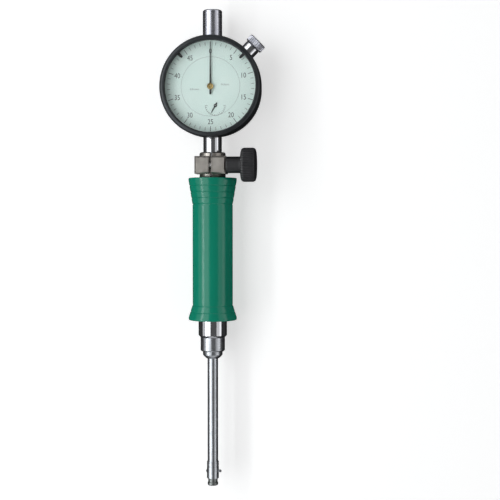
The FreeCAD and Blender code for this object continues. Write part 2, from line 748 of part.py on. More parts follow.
# ---- bezel and what turns with it ----
def make_bezel():
    """Satin black bezel with its crystal, retaining ring, snap wire and outer dial ring."""
    bore = case_neck_radius + running_gap
    groove_low = bezel_base + snap_wire_height
    groove_high = groove_low + snap_wire_size
    groove = bore + snap_wire_share * snap_wire_size
    lip = bezel_top - bezel_lip_thickness
    round_middle = 0.3 * bezel_round
    nodes["bezel"] = turned_z([
        (bezel_base, bore), (bezel_base, bezel_radius - edge_break), (bezel_base + edge_break, bezel_radius),
        (bezel_top - bezel_round, bezel_radius), (bezel_top - round_middle, bezel_radius - round_middle),
        (bezel_top, bezel_radius - bezel_round), (bezel_top, bezel_opening + fine_break),
        (bezel_top - fine_break, bezel_opening), (lip, bezel_opening), (lip, bore), (groove_high, bore),
        (groove_high, groove), (groove_low, groove), (groove_low, bore)])
    wire_in = case_neck_radius - snap_wire_share * snap_wire_size + running_gap
    nodes["snap_wire"] = turned_z([
        (groove_low, wire_in), (groove_low, groove), (groove_high, groove), (groove_high, wire_in)])
    rim = bore - seat_gap
    glass_low = lip - crystal_thickness
    nodes["crystal"] = turned_z([(glass_low, 0), (glass_low, rim), (lip, rim), (lip, 0)])
    nodes["crystal_retainer"] = turned_z([
        (glass_low - retainer_height, rim - retainer_width), (glass_low - retainer_height, rim),
        (glass_low, rim), (glass_low, rim - retainer_width)])
    nodes["dial_ring"] = turned_z([
        (dial_base, dial_split_radius + running_gap), (dial_base, rim), (dial_height, rim),
        (dial_height, dial_split_radius + running_gap)])
    for level, (name, angle) in enumerate(limit_hand_angles.items()):
        low = dial_height + limit_ring_height + level * limit_ring_step
        outer = rim - running_gap
        ring = turned_z([
            (low, outer - limit_ring_width), (low, outer), (low + limit_ring_thickness, outer),
            (low + limit_ring_thickness, outer - limit_ring_width)])
        opening_x, opening_y = polar(outer, 180 + limit_ring_gap / 2)
        ring = ring.cut(block((-outer - past, opening_y, low - past), (opening_x, -opening_y, low + past)))
        half = limit_tongue_width / 2
        start = outer - limit_ring_width / 2
        neck = start - limit_tongue_taper * limit_tongue_reach
        end = start - limit_tongue_reach
        narrow = limit_tongue_taper * half
        tongue = prism([
            (start, -half), (start, half), (neck, half), (end, narrow), (end, -narrow), (neck, -half)],
            limit_ring_thickness, low)
        hand = ring.fuse(tongue).removeSplitter()
        hand.rotate(VEC(0, 0, 0), VEC(0, 0, 1), angle)
        nodes[name] = hand


def make_bezel_clamp():
    """Knurled screw in a polished bush at the case's side; its cone lifts a pin against the bezel."""
    bore = clamp_shank_radius + running_gap
    wall_middle = case_radius - case_wall / 2
    bush = clamp_turned([
        (wall_middle, bore), (wall_middle, clamp_bush_radius),
        (clamp_bush_reach - edge_break, clamp_bush_radius),
        (clamp_bush_reach, clamp_bush_radius - edge_break), (clamp_bush_reach, bore)])
    bush = bush.cut(upright(0, 0, 0, case_front, case_radius + seat_gap))
    tenon_low = case_inner_radius + edge_break
    tenon_high = case_radius + clamp_tenon_radius / 2
    tenon = clamp_turned([
        (tenon_low, bore), (tenon_low, clamp_tenon_radius),
        (tenon_high, clamp_tenon_radius), (tenon_high, bore)])
    pin_x, pin_y = polar(brake_pin_circle, clamp_angle)
    pin_top = bezel_base - face_gap
    bush = bush.fuse(tenon)
    pin_bore = brake_pin_radius + running_gap
    pin_hole = upright(pin_x, pin_y, axis_z, axis_z + clamp_bush_radius + past, pin_bore)
    nodes["bezel_clamp_bush"] = bush.cut(pin_hole).removeSplitter()
    nodes["bezel_brake_pin"] = upright(
        pin_x, pin_y, axis_z + clamp_shank_radius + face_gap, pin_top, brake_pin_radius)
    head_low = clamp_bush_reach + face_gap
    head_high = head_low + clamp_head_height
    bevel = clamp_head_bevel
    screw_end = brake_pin_circle - brake_pin_radius - clamp_cone_length
    screw = turned([
        (screw_end, 0), (screw_end, clamp_shank_radius / 2),
        (screw_end + clamp_cone_length, clamp_shank_radius), (head_low, clamp_shank_radius),
        (head_low, clamp_head_radius - bevel), (head_low + bevel, clamp_head_radius),
        (head_high - bevel, clamp_head_radius), (head_high, clamp_head_radius - bevel), (head_high, 0)],
        (0, 0, axis_z), (1, 0, 0), (0, 0, 1))
    ribs = prism(ribbed_disc(clamp_head_ribs, clamp_head_radius, clamp_head_rib_depth),
                 head_high - screw_end + 2 * past, screw_end - past)
    ribs.rotate(VEC(0, 0, 0), VEC(0, 1, 0), 90)
    ribs.translate(VEC(0, 0, axis_z))
    nodes["bezel_clamp_screw"] = clamp_axis(screw.common(ribs))


# ---- dial and hands ----
def hand_outline(reach, tail, root_width, tip_width):
    """Outline of a hand that points along +X from its pivot."""
    root, tip = root_width / 2, tip_width / 2
    near_tip = reach - 2 * tip_width
    tail_width = 0.9 * root
    return [(reach, 0), (near_tip, tip), (0, root), (-tail, tail_width), (-tail, -tail_width), (0, -root),
            (near_tip, -tip)]


def make_dial():
    """Fixed centre plate of the dial on two feet, and both hands with their hubs."""
    plate = upright(0, 0, dial_base, dial_height, dial_split_radius)
    for side in (-1, 1):
        x, y = polar(dial_foot_reach * side, dial_foot_angle)
        plate = plate.fuse(upright(x, y, bridge_base + face_gap, dial_base, dial_foot_radius))
    for x, y in ((0.0, 0.0), (counter_x, counter_y)):
        plate = plate.cut(upright(x, y, dial_base - past, dial_height + past, arbor_radius + dial_hole_play))
    nodes["dial_plate"] = plate

    counter_low = dial_height + hand_gap
    outline = hand_outline(counter_reach, counter_tail, counter_width, counter_tip_width)
    hand = prism(outline, pointer_thickness, counter_low, counter_x, counter_y, counter_rest_angle)
    boss = upright(counter_x, counter_y, counter_low, counter_low + pointer_thickness, counter_boss_radius)
    hole = upright(counter_x, counter_y, counter_low - past, counter_low + past, pivot_radius + seat_gap)
    nodes["counter_pointer"] = hand.fuse(boss).cut(hole).removeSplitter()

    low = counter_low + 2 * pointer_thickness + hand_gap
    outline = hand_outline(pointer_reach, pointer_tail, pointer_root_width, pointer_tip_width)
    pointer = prism(outline, pointer_thickness, low, 0, 0, 90)
    boss = upright(0, 0, low, low + pointer_thickness, 0.8 * pointer_hub_radius)
    hole = upright(0, 0, low - past, low + past, arbor_radius + seat_gap)
    nodes["main_pointer"] = pointer.fuse(boss).cut(hole).removeSplitter()
    seat = low + pointer_thickness + seat_gap
    nodes["pointer_hub"] = turned_z([
        (seat, 0), (seat, pointer_hub_radius), (seat + 0.4 * pointer_hub_height, pointer_hub_radius),
        (seat + pointer_hub_height, 0.6 * pointer_hub_radius), (seat + pointer_hub_height, 0)])
    return low


# ---- movement ----
def wheel(x, y, low, turn):
    """Large spur wheel with a hub and three round windows."""
    outline = gear_outline(wheel_teeth, wheel_module, wheel_backlash, (-tooth_root, tooth_tip))
    disc = prism(outline, wheel_thickness, low, x, y, turn)
    disc = disc.cut(upright(x, y, low - past, low + past, arbor_radius + seat_gap))
    middle = wheel_module * wheel_teeth / 4
    for i in range(3):
        dx, dy = polar(middle, turn + 120 * i + 60)
        disc = disc.cut(upright(x + dx, y + dy, low - past, low + past, middle / 2))
    return disc


def make_train(pointer_low):
    """Rack pinion and drive wheel, centre pinion, and take-up wheel with its hairspring."""
    toward = math.degrees(math.atan2(drive_y, drive_x))
    half_tooth = 180.0 / centre_pinion_teeth
    pinion_low = wheel_base - pinion_overhang
    pinion_high = wheel_base + wheel_thickness + pinion_overhang
    outline = gear_outline(centre_pinion_teeth, wheel_module, wheel_backlash, (-tooth_root, 0, tooth_tip))
    pinion = prism(outline, pinion_high - pinion_low, pinion_low, 0, 0, toward + half_tooth)
    shaft = turned_z([
        (web_height + face_gap, 0), (web_height + face_gap, pivot_radius), (web_top, pivot_radius),
        (web_top, arbor_radius), (pointer_low + pointer_thickness, arbor_radius),
        (pointer_low + pointer_thickness, 0)])
    nodes["centre_arbor"] = shaft.fuse(pinion).removeSplitter()
    nodes["drive_wheel"] = wheel(drive_x, drive_y, wheel_base, toward + 180)
    nodes["counter_wheel"] = wheel(counter_x, counter_y, wheel_base, toward)

    rack_low = axis_z - rack_face / 2
    rear_top = axis_z - spindle_radius - rear_bridge_drop
    rear_low = rear_top - rear_bridge_thickness
    outline = gear_outline(rack_pinion_teeth, rack_module, wheel_backlash, (-tooth_root, 0, tooth_tip))
    rack_pinion = prism(outline, rack_face, rack_low, drive_x, drive_y, 0)
    arbor = turned_z([
        (rear_low, 0), (rear_low, pivot_radius), (rear_top + face_gap, pivot_radius),
        (rear_top + face_gap, arbor_radius), (bridge_base - face_gap, arbor_radius),
        (bridge_base - face_gap, pivot_radius), (bridge_top, pivot_radius),
        (bridge_top, 0)], drive_x, drive_y)
    nodes["rack_arbor"] = arbor.fuse(rack_pinion).removeSplitter()
    nodes["counter_arbor"] = turned_z([
        (web_height + face_gap, 0), (web_height + face_gap, pivot_radius),
        (web_top + face_gap, pivot_radius), (web_top + face_gap, arbor_radius),
        (bridge_base - face_gap, arbor_radius),
        (bridge_base - face_gap, pivot_radius), (dial_height + hand_gap + pointer_thickness, pivot_radius),
        (dial_height + hand_gap + pointer_thickness, 0)], counter_x, counter_y)
    make_hairspring()
    return rear_low, rear_top


def make_hairspring():
    """Flat spiral that takes up the play of the train: half circles of growing radius about two centres."""
    low = wheel_base + wheel_thickness + hairspring_lift
    inner, outer = [], []
    radius, centre = hairspring_inner_radius, 0.0
    shift = hairspring_pitch / 4
    for half_turn in range(2 * hairspring_turns):
        facing = 1 if half_turn % 2 == 0 else -1
        for edge, r in ((inner, radius), (outer, radius + hairspring_strip)):
            edge.append(Part.Arc(VEC(centre + facing * r, 0, 0), VEC(centre, facing * r, 0),
                                 VEC(centre - facing * r, 0, 0)).toShape())
        radius += hairspring_pitch / 2
        centre += facing * 2 * shift
    ends = [Part.makeLine(inner[0].Vertexes[0].Point, outer[0].Vertexes[0].Point),
            Part.makeLine(inner[-1].Vertexes[-1].Point, outer[-1].Vertexes[-1].Point)]
    loop = Part.Wire(Part.__sortEdges__(inner + outer + ends))
    spiral = Part.Face(loop).extrude(VEC(0, 0, hairspring_height))
    spiral.translate(VEC(counter_x, counter_y, low))
    nodes["hairspring"] = spiral
    stud_x = counter_x + inner[-1].Vertexes[-1].Point.x
    collet = hairspring_inner_radius - face_gap
    nodes["hairspring_collet"] = turned_z([
        (low, arbor_radius + seat_gap), (low, collet), (low + hairspring_height, collet),
        (low + hairspring_height, arbor_radius + seat_gap)], counter_x, counter_y)
    stud_top = bridge_base
    strip_middle = stud_x + hairspring_strip / 2
    nodes["hairspring_stud"] = block(
        (strip_middle - stud_width / 2, counter_y + face_gap, low - stud_overlap),
        (strip_middle + stud_width / 2, counter_y + face_gap + stud_width, stud_top))


def make_bridges(rear_low, rear_top):
    """Brass bridge over the wheels, small bridge behind the spindle, their pillars, screws and bushes."""
    toward = math.degrees(math.atan2(drive_y, drive_x))
    pillar_places = [polar(pillar_circle_radius, toward + turn) for turn in pillar_turns]
    low, high = bridge_base - past, bridge_top + past
    bridge = upright(0, 0, bridge_base, bridge_top, bridge_radius)
    bridge = bridge.cut(upright(0, 0, low, high, arbor_radius + running_gap))
    for x, y in ((drive_x, drive_y), (counter_x, counter_y)):
        bridge = bridge.cut(upright(x, y, low, high, pivot_radius + running_gap))
    for side in (-1, 1):
        x, y = polar(dial_foot_reach * side, dial_foot_angle)
        bridge = bridge.cut(upright(x, y, low, high, dial_foot_radius + seat_gap))
    pillars, screws = [], []
    screw_low = web_top + bridge_screw_end
    for x, y in pillar_places:
        bridge = bridge.cut(upright(x, y, low, high, screw_shank_radius + seat_gap))
        pillar = upright(x, y, web_top, bridge_base, pillar_radius)
        pillars.append(pillar.cut(upright(x, y, web_top, bridge_base + past, screw_shank_radius + seat_gap)))
        screws.append(turned_z([
            (screw_low, 0), (screw_low, screw_shank_radius), (bridge_top, screw_shank_radius),
            (bridge_top, bridge_screw_radius), (bridge_top + bridge_screw_height, bridge_screw_radius),
            (bridge_top + bridge_screw_height, 0)], x, y))
    nodes["bridge_plate"] = bridge
    nodes["bridge_pillars"] = Part.makeCompound(pillars)
    nodes["bridge_screws"] = Part.makeCompound(screws)

    bushes = []
    for x, y in ((0.0, 0.0), (counter_x, counter_y)):
        bushes.append(turned_z([
            (web_height, pivot_radius + running_gap), (web_height, bush_radius), (web_top, bush_radius),
            (web_top, pivot_radius + running_gap)], x, y))
    nodes["pivot_bushes"] = Part.makeCompound(bushes)

    half = rear_pillar_spread + rear_bridge_rim
    plate = block((rear_pillar_x - rear_bridge_rim, drive_y - half, rear_low),
                  (drive_x + rear_bridge_rim_inner, drive_y + half, rear_top))
    hole = upright(drive_x, drive_y, rear_low - past, rear_top + past, pivot_radius + running_gap)
    plate = plate.cut(hole)
    posts = []
    for side in (-1, 1):
        y = drive_y + side * rear_pillar_spread
        posts.append(upright(rear_pillar_x, y, rear_top, web_height, pillar_radius))
    nodes["rear_bridge"] = plate
    nodes["rear_pillars"] = Part.makeCompound(posts)


# ---- spindle ----
def make_spindle():
    """Spindle with its rack, contact point, guide pin in its rail, and return spring."""
    rack_line = drive_x + rack_pinion_radius
    tip_line = rack_line - tooth_tip * rack_module
    root_line = rack_line + tooth_root * rack_module
    flat_low = drive_y - rack_below - edge_break
    flat_high = drive_y + rack_above + edge_break
    bar = turned_y([
        (spindle_bottom, 0), (spindle_bottom, spindle_radius), (spindle_top - edge_break, spindle_radius),
        (spindle_top, spindle_radius - edge_break), (spindle_top, 0)])
    clear = spindle_radius + past
    flat = block((-clear, flat_low, axis_z - clear), (tip_line, flat_high, axis_z + clear))
    bar = bar.cut(flat)
    first = drive_y - math.floor(rack_below / rack_pitch) * rack_pitch
    quarter = rack_pitch / 4
    slope = math.tan(math.radians(pressure_angle)) * rack_module
    play = wheel_backlash / 2
    width = 2 * spindle_radius
    gaps = int((rack_below + rack_above) / rack_pitch)
    for gap in range(gaps):
        y = first + gap * rack_pitch
        top = quarter + tooth_tip * slope + play
        bottom = quarter - tooth_root * slope + play
        corners = [(tip_line - past, y - top), (tip_line, y - top), (root_line, y - bottom),
                   (root_line, y + bottom), (tip_line, y + top), (tip_line - past, y + top)]
        bar = bar.cut(prism(corners, width, axis_z - width / 2))
    pin_hole = rod((0, guide_pin_y, axis_z), (clear, guide_pin_y, axis_z), guide_pin_radius + seat_gap)
    nodes["spindle"] = bar.cut(pin_hole)
    nodes["guide_pin"] = rod(
        (seat_gap, guide_pin_y, axis_z), (guide_pin_reach, guide_pin_y, axis_z), guide_pin_radius)
    low = spindle_bottom - contact_point_length
    ball = contact_ball_radius
    shoulder = low + ball + contact_neck_length
    nodes["contact_point"] = turned_y([
        (low, 0), (low + 0.25 * ball, 0.66 * ball), (low + ball, ball), (shoulder, ball),
        (shoulder, spindle_radius - fine_break), (spindle_bottom, spindle_radius - fine_break),
        (spindle_bottom, 0)])

    wall = guide_rail_wall
    half = guide_pin_radius + running_gap
    rail_x = guide_pin_reach - wall
    rail_low, rail_high = guide_pin_y - 0.5 * guide_rail_length, guide_pin_y + 0.5 * guide_rail_length
    rail = block((rail_x - wall, rail_low, axis_z - half - wall),
                 (guide_pin_reach + wall, rail_high, web_height))
    slot = block((rail_x - wall - past, rail_low + wall, axis_z - half),
                 (guide_pin_reach + running_gap, rail_high - wall, axis_z + half))
    nodes["guide_rail"] = rail.cut(slot)

    hook = guide_pin_y - guide_pin_radius - seat_gap
    post_side = spring_post_y + spring_post_radius + seat_gap
    x = return_spring_x
    coil_low, coil_high = post_side + return_spring_hook, hook - return_spring_hook
    nodes["return_spring"] = turned([
        (post_side, 0), (post_side, return_spring_tail), (coil_low, return_spring_tail),
        (coil_low, return_spring_radius), (coil_high, return_spring_radius), (coil_high, return_spring_tail),
        (hook, return_spring_tail), (hook, 0)], (x, 0, axis_z), (0, 1, 0), (0, 0, 1))
    nodes["spring_post"] = upright(
        x, spring_post_y, axis_z - spring_post_reach, web_height, spring_post_radius)


def main():
    make_head()
    make_end_cap()
    make_anvil()
    make_contact()
    make_tube()
    make_push_rod()
    make_neck()
    make_grip()
    make_clamp()
    make_case()
    make_back()
    make_stem()
    make_bezel()
    make_bezel_clamp()
    pointer_low = make_dial()
    rear_low, rear_top = make_train(pointer_low)
    make_bridges(rear_low, rear_top)
    make_spindle()
    os.makedirs("parts", exist_ok=True)
    for name, shape in nodes.items():
        if not shape.isValid():
            print("not valid:", name)
        shape.exportStep("parts/" + name + ".step")
    print(len(nodes), "pieces; tip", round(tip_end, 2), "spindle end", round(spindle_bottom, 2))


main()
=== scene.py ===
import math

import bmesh
import bpy
import numpy as np
from mathutils import Matrix, Vector


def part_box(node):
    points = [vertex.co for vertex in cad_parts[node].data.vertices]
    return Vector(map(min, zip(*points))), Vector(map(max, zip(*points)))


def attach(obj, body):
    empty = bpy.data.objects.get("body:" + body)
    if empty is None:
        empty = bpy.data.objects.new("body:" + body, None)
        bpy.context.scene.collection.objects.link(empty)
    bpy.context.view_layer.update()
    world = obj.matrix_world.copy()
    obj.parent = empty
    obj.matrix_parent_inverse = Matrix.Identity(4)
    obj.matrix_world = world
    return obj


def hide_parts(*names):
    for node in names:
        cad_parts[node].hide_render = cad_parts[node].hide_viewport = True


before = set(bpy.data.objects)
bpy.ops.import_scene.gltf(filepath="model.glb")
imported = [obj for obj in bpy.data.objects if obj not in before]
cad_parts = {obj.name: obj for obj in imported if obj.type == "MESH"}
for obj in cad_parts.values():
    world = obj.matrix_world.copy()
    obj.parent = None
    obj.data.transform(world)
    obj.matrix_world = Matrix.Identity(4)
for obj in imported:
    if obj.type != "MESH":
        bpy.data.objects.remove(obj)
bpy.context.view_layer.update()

# ---- Measuring head ----
# A satin turned steel nose on the end of the tube, bored across for the contact, with two fine grooves.
# A waisted cap of darker steel plugs its end and a stub anvil is screwed in opposite the contact.
mm = 0.001


def finish(name, colour, metallic, roughness, ior=1.5):
    """A new Principled material; returns it with its node tree and its shader."""
    material = bpy.data.materials.new(name)
    material.use_nodes = True
    tree = material.node_tree
    tree.nodes.clear()
    output = tree.nodes.new("ShaderNodeOutputMaterial")
    shader = tree.nodes.new("ShaderNodeBsdfPrincipled")
    shader.inputs["Base Color"].default_value = (*colour, 1.0)
    shader.inputs["Metallic"].default_value = metallic
    shader.inputs["Roughness"].default_value = roughness
    shader.inputs["IOR"].default_value = ior
    tree.links.new(shader.outputs["BSDF"], output.inputs["Surface"])
    return material, tree, shader


def grain(tree, scale, stretch=(1, 1, 1), detail=3.0):
    """Noise on the piece's own coordinates, drawn out along the axes whose stretch is small."""
    coordinates = tree.nodes.new("ShaderNodeTexCoord")
    mapping = tree.nodes.new("ShaderNodeMapping")
    mapping.inputs["Scale"].default_value = stretch
    noise = tree.nodes.new("ShaderNodeTexNoise")
    noise.inputs["Scale"].default_value = scale
    noise.inputs["Detail"].default_value = detail
    tree.links.new(coordinates.outputs["Object"], mapping.inputs["Vector"])
    tree.links.new(mapping.outputs["Vector"], noise.inputs["Vector"])
    return noise.outputs["Fac"]


def spread(tree, pattern, low, high):
    """Map a noise pattern, which lies mostly between 0.3 and 0.7, to the range low to high."""
    ranged = tree.nodes.new("ShaderNodeMapRange")
    ranged.inputs["From Min"].default_value = 0.3
    ranged.inputs["From Max"].default_value = 0.7
    ranged.inputs["To Min"].default_value = low
    ranged.inputs["To Max"].default_value = high
    tree.links.new(pattern, ranged.inputs["Value"])
    return ranged.outputs["Result"]


def tint(tree, shader, pattern, first, second):
    """Let the base colour wander between two colours with a pattern."""
    mix = tree.nodes.new("ShaderNodeMix")
    mix.data_type = "RGBA"
    mix.inputs["A"].default_value = (*first, 1.0)
    mix.inputs["B"].default_value = (*second, 1.0)
    tree.links.new(spread(tree, pattern, 0.0, 1.0), mix.inputs["Factor"])
    tree.links.new(mix.outputs["Result"], shader.inputs["Base Color"])


def emboss(tree, shader, pattern, height, strength=1.0):
    """Raise a pattern by a height in metres."""
    bump = tree.nodes.new("ShaderNodeBump")
    bump.inputs["Distance"].default_value = height
    bump.inputs["Strength"].default_value = strength
    tree.links.new(pattern, bump.inputs["Height"])
    tree.links.new(bump.outputs["Normal"], shader.inputs["Normal"])


def turned_metal(name, light, dark, low, high, along=(0.02, 1, 0.02), lines=6000.0, height=1.2e-6):
    """Metal off the lathe: fine rings across the axis and a few cloudy handling marks."""
    material, tree, shader = finish(name, light, 1.0, (low + high) / 2)
    rings = grain(tree, lines, along, 2.0)
    clouds = grain(tree, 180.0, (1, 1, 1), 4.0)
    both = tree.nodes.new("ShaderNodeMix")
    both.inputs["Factor"].default_value = 0.45
    tree.links.new(rings, both.inputs["A"])
    tree.links.new(clouds, both.inputs["B"])
    tree.links.new(spread(tree, both.outputs["Result"], low, high), shader.inputs["Roughness"])
    tint(tree, shader, clouds, light, dark)
    emboss(tree, shader, rings, height, 0.6)
    return material


def dress(material, *names):
    """Give CAD nodes a finish."""
    for name in names:
        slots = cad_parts[name].data.materials
        slots.clear()
        slots.append(material)


satin_steel = turned_metal("satin_steel", (0.58, 0.60, 0.64), (0.47, 0.49, 0.52), 0.24, 0.36)
dark_steel = turned_metal("dark_steel", (0.30, 0.32, 0.31), (0.19, 0.20, 0.20), 0.30, 0.45)
dress(satin_steel, "head_body")
dress(dark_steel, "end_cap", "anvil")

# ---- Sliding contact ----
# A small shouldered steel pin with a 45 degree inner face that lifts the push rod.
# Its carbide button is brazed on and ground to a dark, fine finish.
carbide = turned_metal("carbide", (0.17, 0.17, 0.18), (0.10, 0.10, 0.11), 0.18, 0.30, (1, 0.02, 0.02))
dress(satin_steel, "contact_pin")
dress(carbide, "contact_tip")

# ---- Tube, socket, lock nut and neck ----
# Centreless ground tube in a turned socket, a satin lock nut and a polished collar under the handle.
# All are steel, chromium plated where they shine, screwed together on the gauge's axis.
bright_chrome = turned_metal("bright_chrome", (0.74, 0.75, 0.78), (0.66, 0.67, 0.70), 0.05, 0.11,
                             lines=9000.0, height=2e-7)
satin_chrome = turned_metal("satin_chrome", (0.66, 0.67, 0.74), (0.56, 0.57, 0.64), 0.22, 0.32)
dress(satin_steel, "guide_tube", "tube_socket", "lock_nut")
dress(bright_chrome, "neck_collar")

# ---- Push rod and its spring ----
# A straight steel rod with a brass collar; a round wire spring between collar and seat presses it down.
# The wire is drawn steel, dark and smooth, with closed end coils.
plain_steel = turned_metal("plain_steel", (0.56, 0.56, 0.56), (0.42, 0.42, 0.43), 0.22, 0.38)
spring_steel = turned_metal("spring_steel", (0.30, 0.30, 0.32), (0.20, 0.20, 0.22), 0.25, 0.4)
brass = turned_metal("brass", (0.72, 0.52, 0.22), (0.60, 0.42, 0.17), 0.2, 0.34)


def put(name, points, faces, material, body, *stands_for, slot=None, crease=40.0):
    """Make a mesh object from arrays, face it outwards, ride it on a body and stand it for CAD nodes."""
    mesh = bpy.data.meshes.new(name)
    mesh.from_pydata(np.asarray(points, float).tolist(), [], faces)
    shape = bmesh.new()
    shape.from_mesh(mesh)
    bmesh.ops.recalc_face_normals(shape, faces=shape.faces)
    shape.to_mesh(mesh)
    shape.free()
    mesh.polygons.foreach_set("use_smooth", np.ones(len(mesh.polygons), bool))
    mesh.set_sharp_from_angle(angle=math.radians(crease))
    mesh.materials.append(material)
    piece = bpy.data.objects.new(name, mesh)
    bpy.context.scene.collection.objects.link(piece)
    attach(piece, body)
    if stands_for:
        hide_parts(*stands_for)
    return piece


def grid_faces(rows, columns, rows_close=False):
    """Quads of a grid that closes on itself across its columns, and along its rows if asked."""
    i = np.arange(rows if rows_close else rows - 1)[:, None]
    j = np.arange(columns)[None, :]
    down, right = (i + 1) % rows, (j + 1) % columns
    quads = [i * columns + j, i * columns + right, down * columns + right, down * columns + j]
    return np.stack(np.broadcast_arrays(*quads), -1).reshape(-1, 4).tolist()


def wire(name, path, radius, material, body, *stands_for, sides=12, slot=None):
    """A round wire: path(u) plus radius times (cos v N + sin v B), N and B square to the path at u.

    N is the part of a fixed direction that is square to the path; both ends close in a flat disc.
    """
    run = np.gradient(path, axis=0)
    run /= np.linalg.norm(run, axis=1)[:, None]
    fixed = np.array([0.31, 0.52, 0.79])
    across = fixed - run * (run @ fixed)[:, None]
    across /= np.linalg.norm(across, axis=1)[:, None]
    other = np.cross(run, across)
    v = np.linspace(0, 2 * np.pi, sides, endpoint=False)
    points = (path[:, None] + radius * (np.cos(v)[None, :, None] * across[:, None]
              + np.sin(v)[None, :, None] * other[:, None])).reshape(-1, 3)
    last = (len(path) - 1) * sides
    faces = grid_faces(len(path), sides) + [list(range(sides)), list(range(last, last + sides))]
    return put(name, points, faces, material, body, *stands_for, slot=slot)


def winding(centre, axis, start, end, radius, turns, lead=0.75):
    """Middle line of a spring: radius (cos a, sin a) across the axis while it climbs from start to end.

    The climb is slow over the first and last lead turns, so the end coils lie closed.
    """
    u = np.linspace(0, 1, int(turns * 40))
    a = 2 * np.pi * turns * u
    climb = np.clip((turns * u - lead) / (turns - 2 * lead), 0, 1)
    share = 0.06 * u + 0.94 * climb
    path = np.tile(np.asarray(centre, float), (len(u), 1))
    first, second = [k for k in range(3) if k != axis]
    path[:, first] += radius * np.cos(a)
    path[:, second] += radius * np.sin(a)
    path[:, axis] = start + (end - start) * share
    return path


axis_z = (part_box("guide_tube")[0].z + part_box("guide_tube")[1].z) / 2
low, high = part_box("rod_spring")
wire_radius = 0.25 * mm
coils = winding((0, 0, axis_z), 1, low.y + wire_radius, high.y - wire_radius, high.x - wire_radius, 8.5)
wire("push_rod_spring", coils, wire_radius, spring_steel, "push_rod", "rod_spring", slot="spring_steel")
dress(plain_steel, "push_rod", "grip_core")
dress(brass, "rod_collar", "spring_seat")

# ---- Handle ----
# Glossy green plastic moulded over a steel core, waisted between two flares of stepped rings.
# Shallow grooves part the rings; the surface is smooth with a faint flow and fine handling marks.


def eased(profile, size, steps=4, closed=False):
    """Round every corner of a profile: (1-t)^2 a + 2t(1-t) corner + t^2 b.

    a and b lie at size from the corner, on the lines to its neighbours.
    """
    p = np.asarray(profile, float)
    before, after = np.roll(p, 1, 0), np.roll(p, -1, 0)
    size = np.broadcast_to(np.asarray(size, float), len(p))
    back, on = before - p, after - p
    back_length = np.linalg.norm(back, axis=1)
    on_length = np.linalg.norm(on, axis=1)
    a = p + back / back_length[:, None] * np.minimum(size, back_length * 0.45)[:, None]
    b = p + on / on_length[:, None] * np.minimum(size, on_length * 0.45)[:, None]
    t = np.linspace(0, 1, steps)[None, :, None]
    curve = (1 - t) ** 2 * a[:, None] + 2 * t * (1 - t) * p[:, None] + t ** 2 * b[:, None]
    if closed:
        return curve.reshape(-1, 2)
    return np.vstack([p[:1], curve[1:-1].reshape(-1, 2), p[-1:]])


def turned(name, profile, axis, centre, material, body, *stands_for, around=96, relief=None, slot=None,
           crease=40.0):
    """Surface of revolution: station along the axis, radius times (cos v, sin v) across it.

    The profile is a closed loop of (station, radius), or runs from pole to pole where its radius is 0.
    relief(station, radius, angle) is added to the radius. axis is 0, 1 or 2 for X, Y or Z.
    """
    p = np.asarray(profile, float)
    poles = p[0, 1] == 0
    rows = p[1:-1] if poles else p
    v = np.linspace(0, 2 * np.pi, around, endpoint=False)
    station, radius, angle = np.broadcast_arrays(rows[:, :1], rows[:, 1:], v[None, :])
    if relief:
        radius = radius + relief(station, radius, angle)
    first, second = [k for k in range(3) if k != axis]
    points = np.zeros((*station.shape, 3)) + np.asarray(centre, float)
    points[..., axis] += station
    points[..., first] += radius * np.cos(angle)
    points[..., second] += radius * np.sin(angle)
    points = points.reshape(-1, 3)
    faces = grid_faces(len(rows), around, not poles)
    if poles:
        ends = np.tile(np.asarray(centre, float), (2, 1))
        ends[:, axis] += p[[0, -1], 0]
        points = np.vstack([points, ends])
        j = np.arange(around)
        top, last = len(rows) * around, (len(rows) - 1) * around
        faces += np.stack([j, (j + 1) % around, np.full(around, top)], 1).tolist()
        faces += np.stack([last + (j + 1) % around, last + j, np.full(around, top + 1)], 1).tolist()
    return put(name, points, faces, material, body, *stands_for, slot=slot, crease=crease)


grip_green, tree, shader = finish("grip_green", (0.002, 0.26, 0.160), 0.0, 0.2)
flow = grain(tree, 60.0, (1, 0.35, 1), 3.0)
marks = grain(tree, 900.0, (1, 0.6, 1), 5.0)
tint(tree, shader, flow, (0.0015, 0.245, 0.152), (0.003, 0.285, 0.178))
tree.links.new(spread(tree, marks, 0.14, 0.24), shader.inputs["Roughness"])
emboss(tree, shader, grain(tree, 700.0, (1, 1, 1), 2.0), 6e-6, 0.35)

low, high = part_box("grip")
grip_bottom, grip_top = low.y, high.y
flare_radius, waist_radius, bore = (high.x - low.x) / 2, 8.71 * mm, 6.32 * mm


def flare_profile(rim, inward, length, rings):
    """Half profile of a flare: a short rim, then rings stepping down to the waist, a groove after each."""
    start, width, depth = 1.1 * mm, 0.55 * mm, 0.28 * mm
    step = np.arange(rings)
    band = (length - start) / rings
    fall = (flare_radius - waist_radius) / rings
    near = start + step * band
    end = near + band
    far = end - width
    outer = flare_radius - step * fall
    inner = outer - 0.8 * fall
    stations = np.stack([near, far, (far + end) / 2], 1).ravel()
    radii = np.stack([outer, inner, inner - depth], 1).ravel()
    stations = np.concatenate([[0.0, 0.25 * mm], stations, [length + 0.2 * mm]])
    radii = np.concatenate([[flare_radius - 0.25 * mm, flare_radius], radii, [waist_radius]])
    return np.stack([rim + inward * stations, radii], 1)


lower = flare_profile(grip_bottom, 1, 6.7 * mm, 2)
upper = flare_profile(grip_top, -1, 11.6 * mm, 4)[::-1]
profile = np.vstack([[[grip_bottom, bore]], lower, upper, [[grip_top, bore]]])
turned("handle_grip", eased(profile, 0.22 * mm, 5, True), 1, (0, 0, axis_z), grip_green, "gauge", "grip",
       around=160, slot="green_grip", crease=60.0)

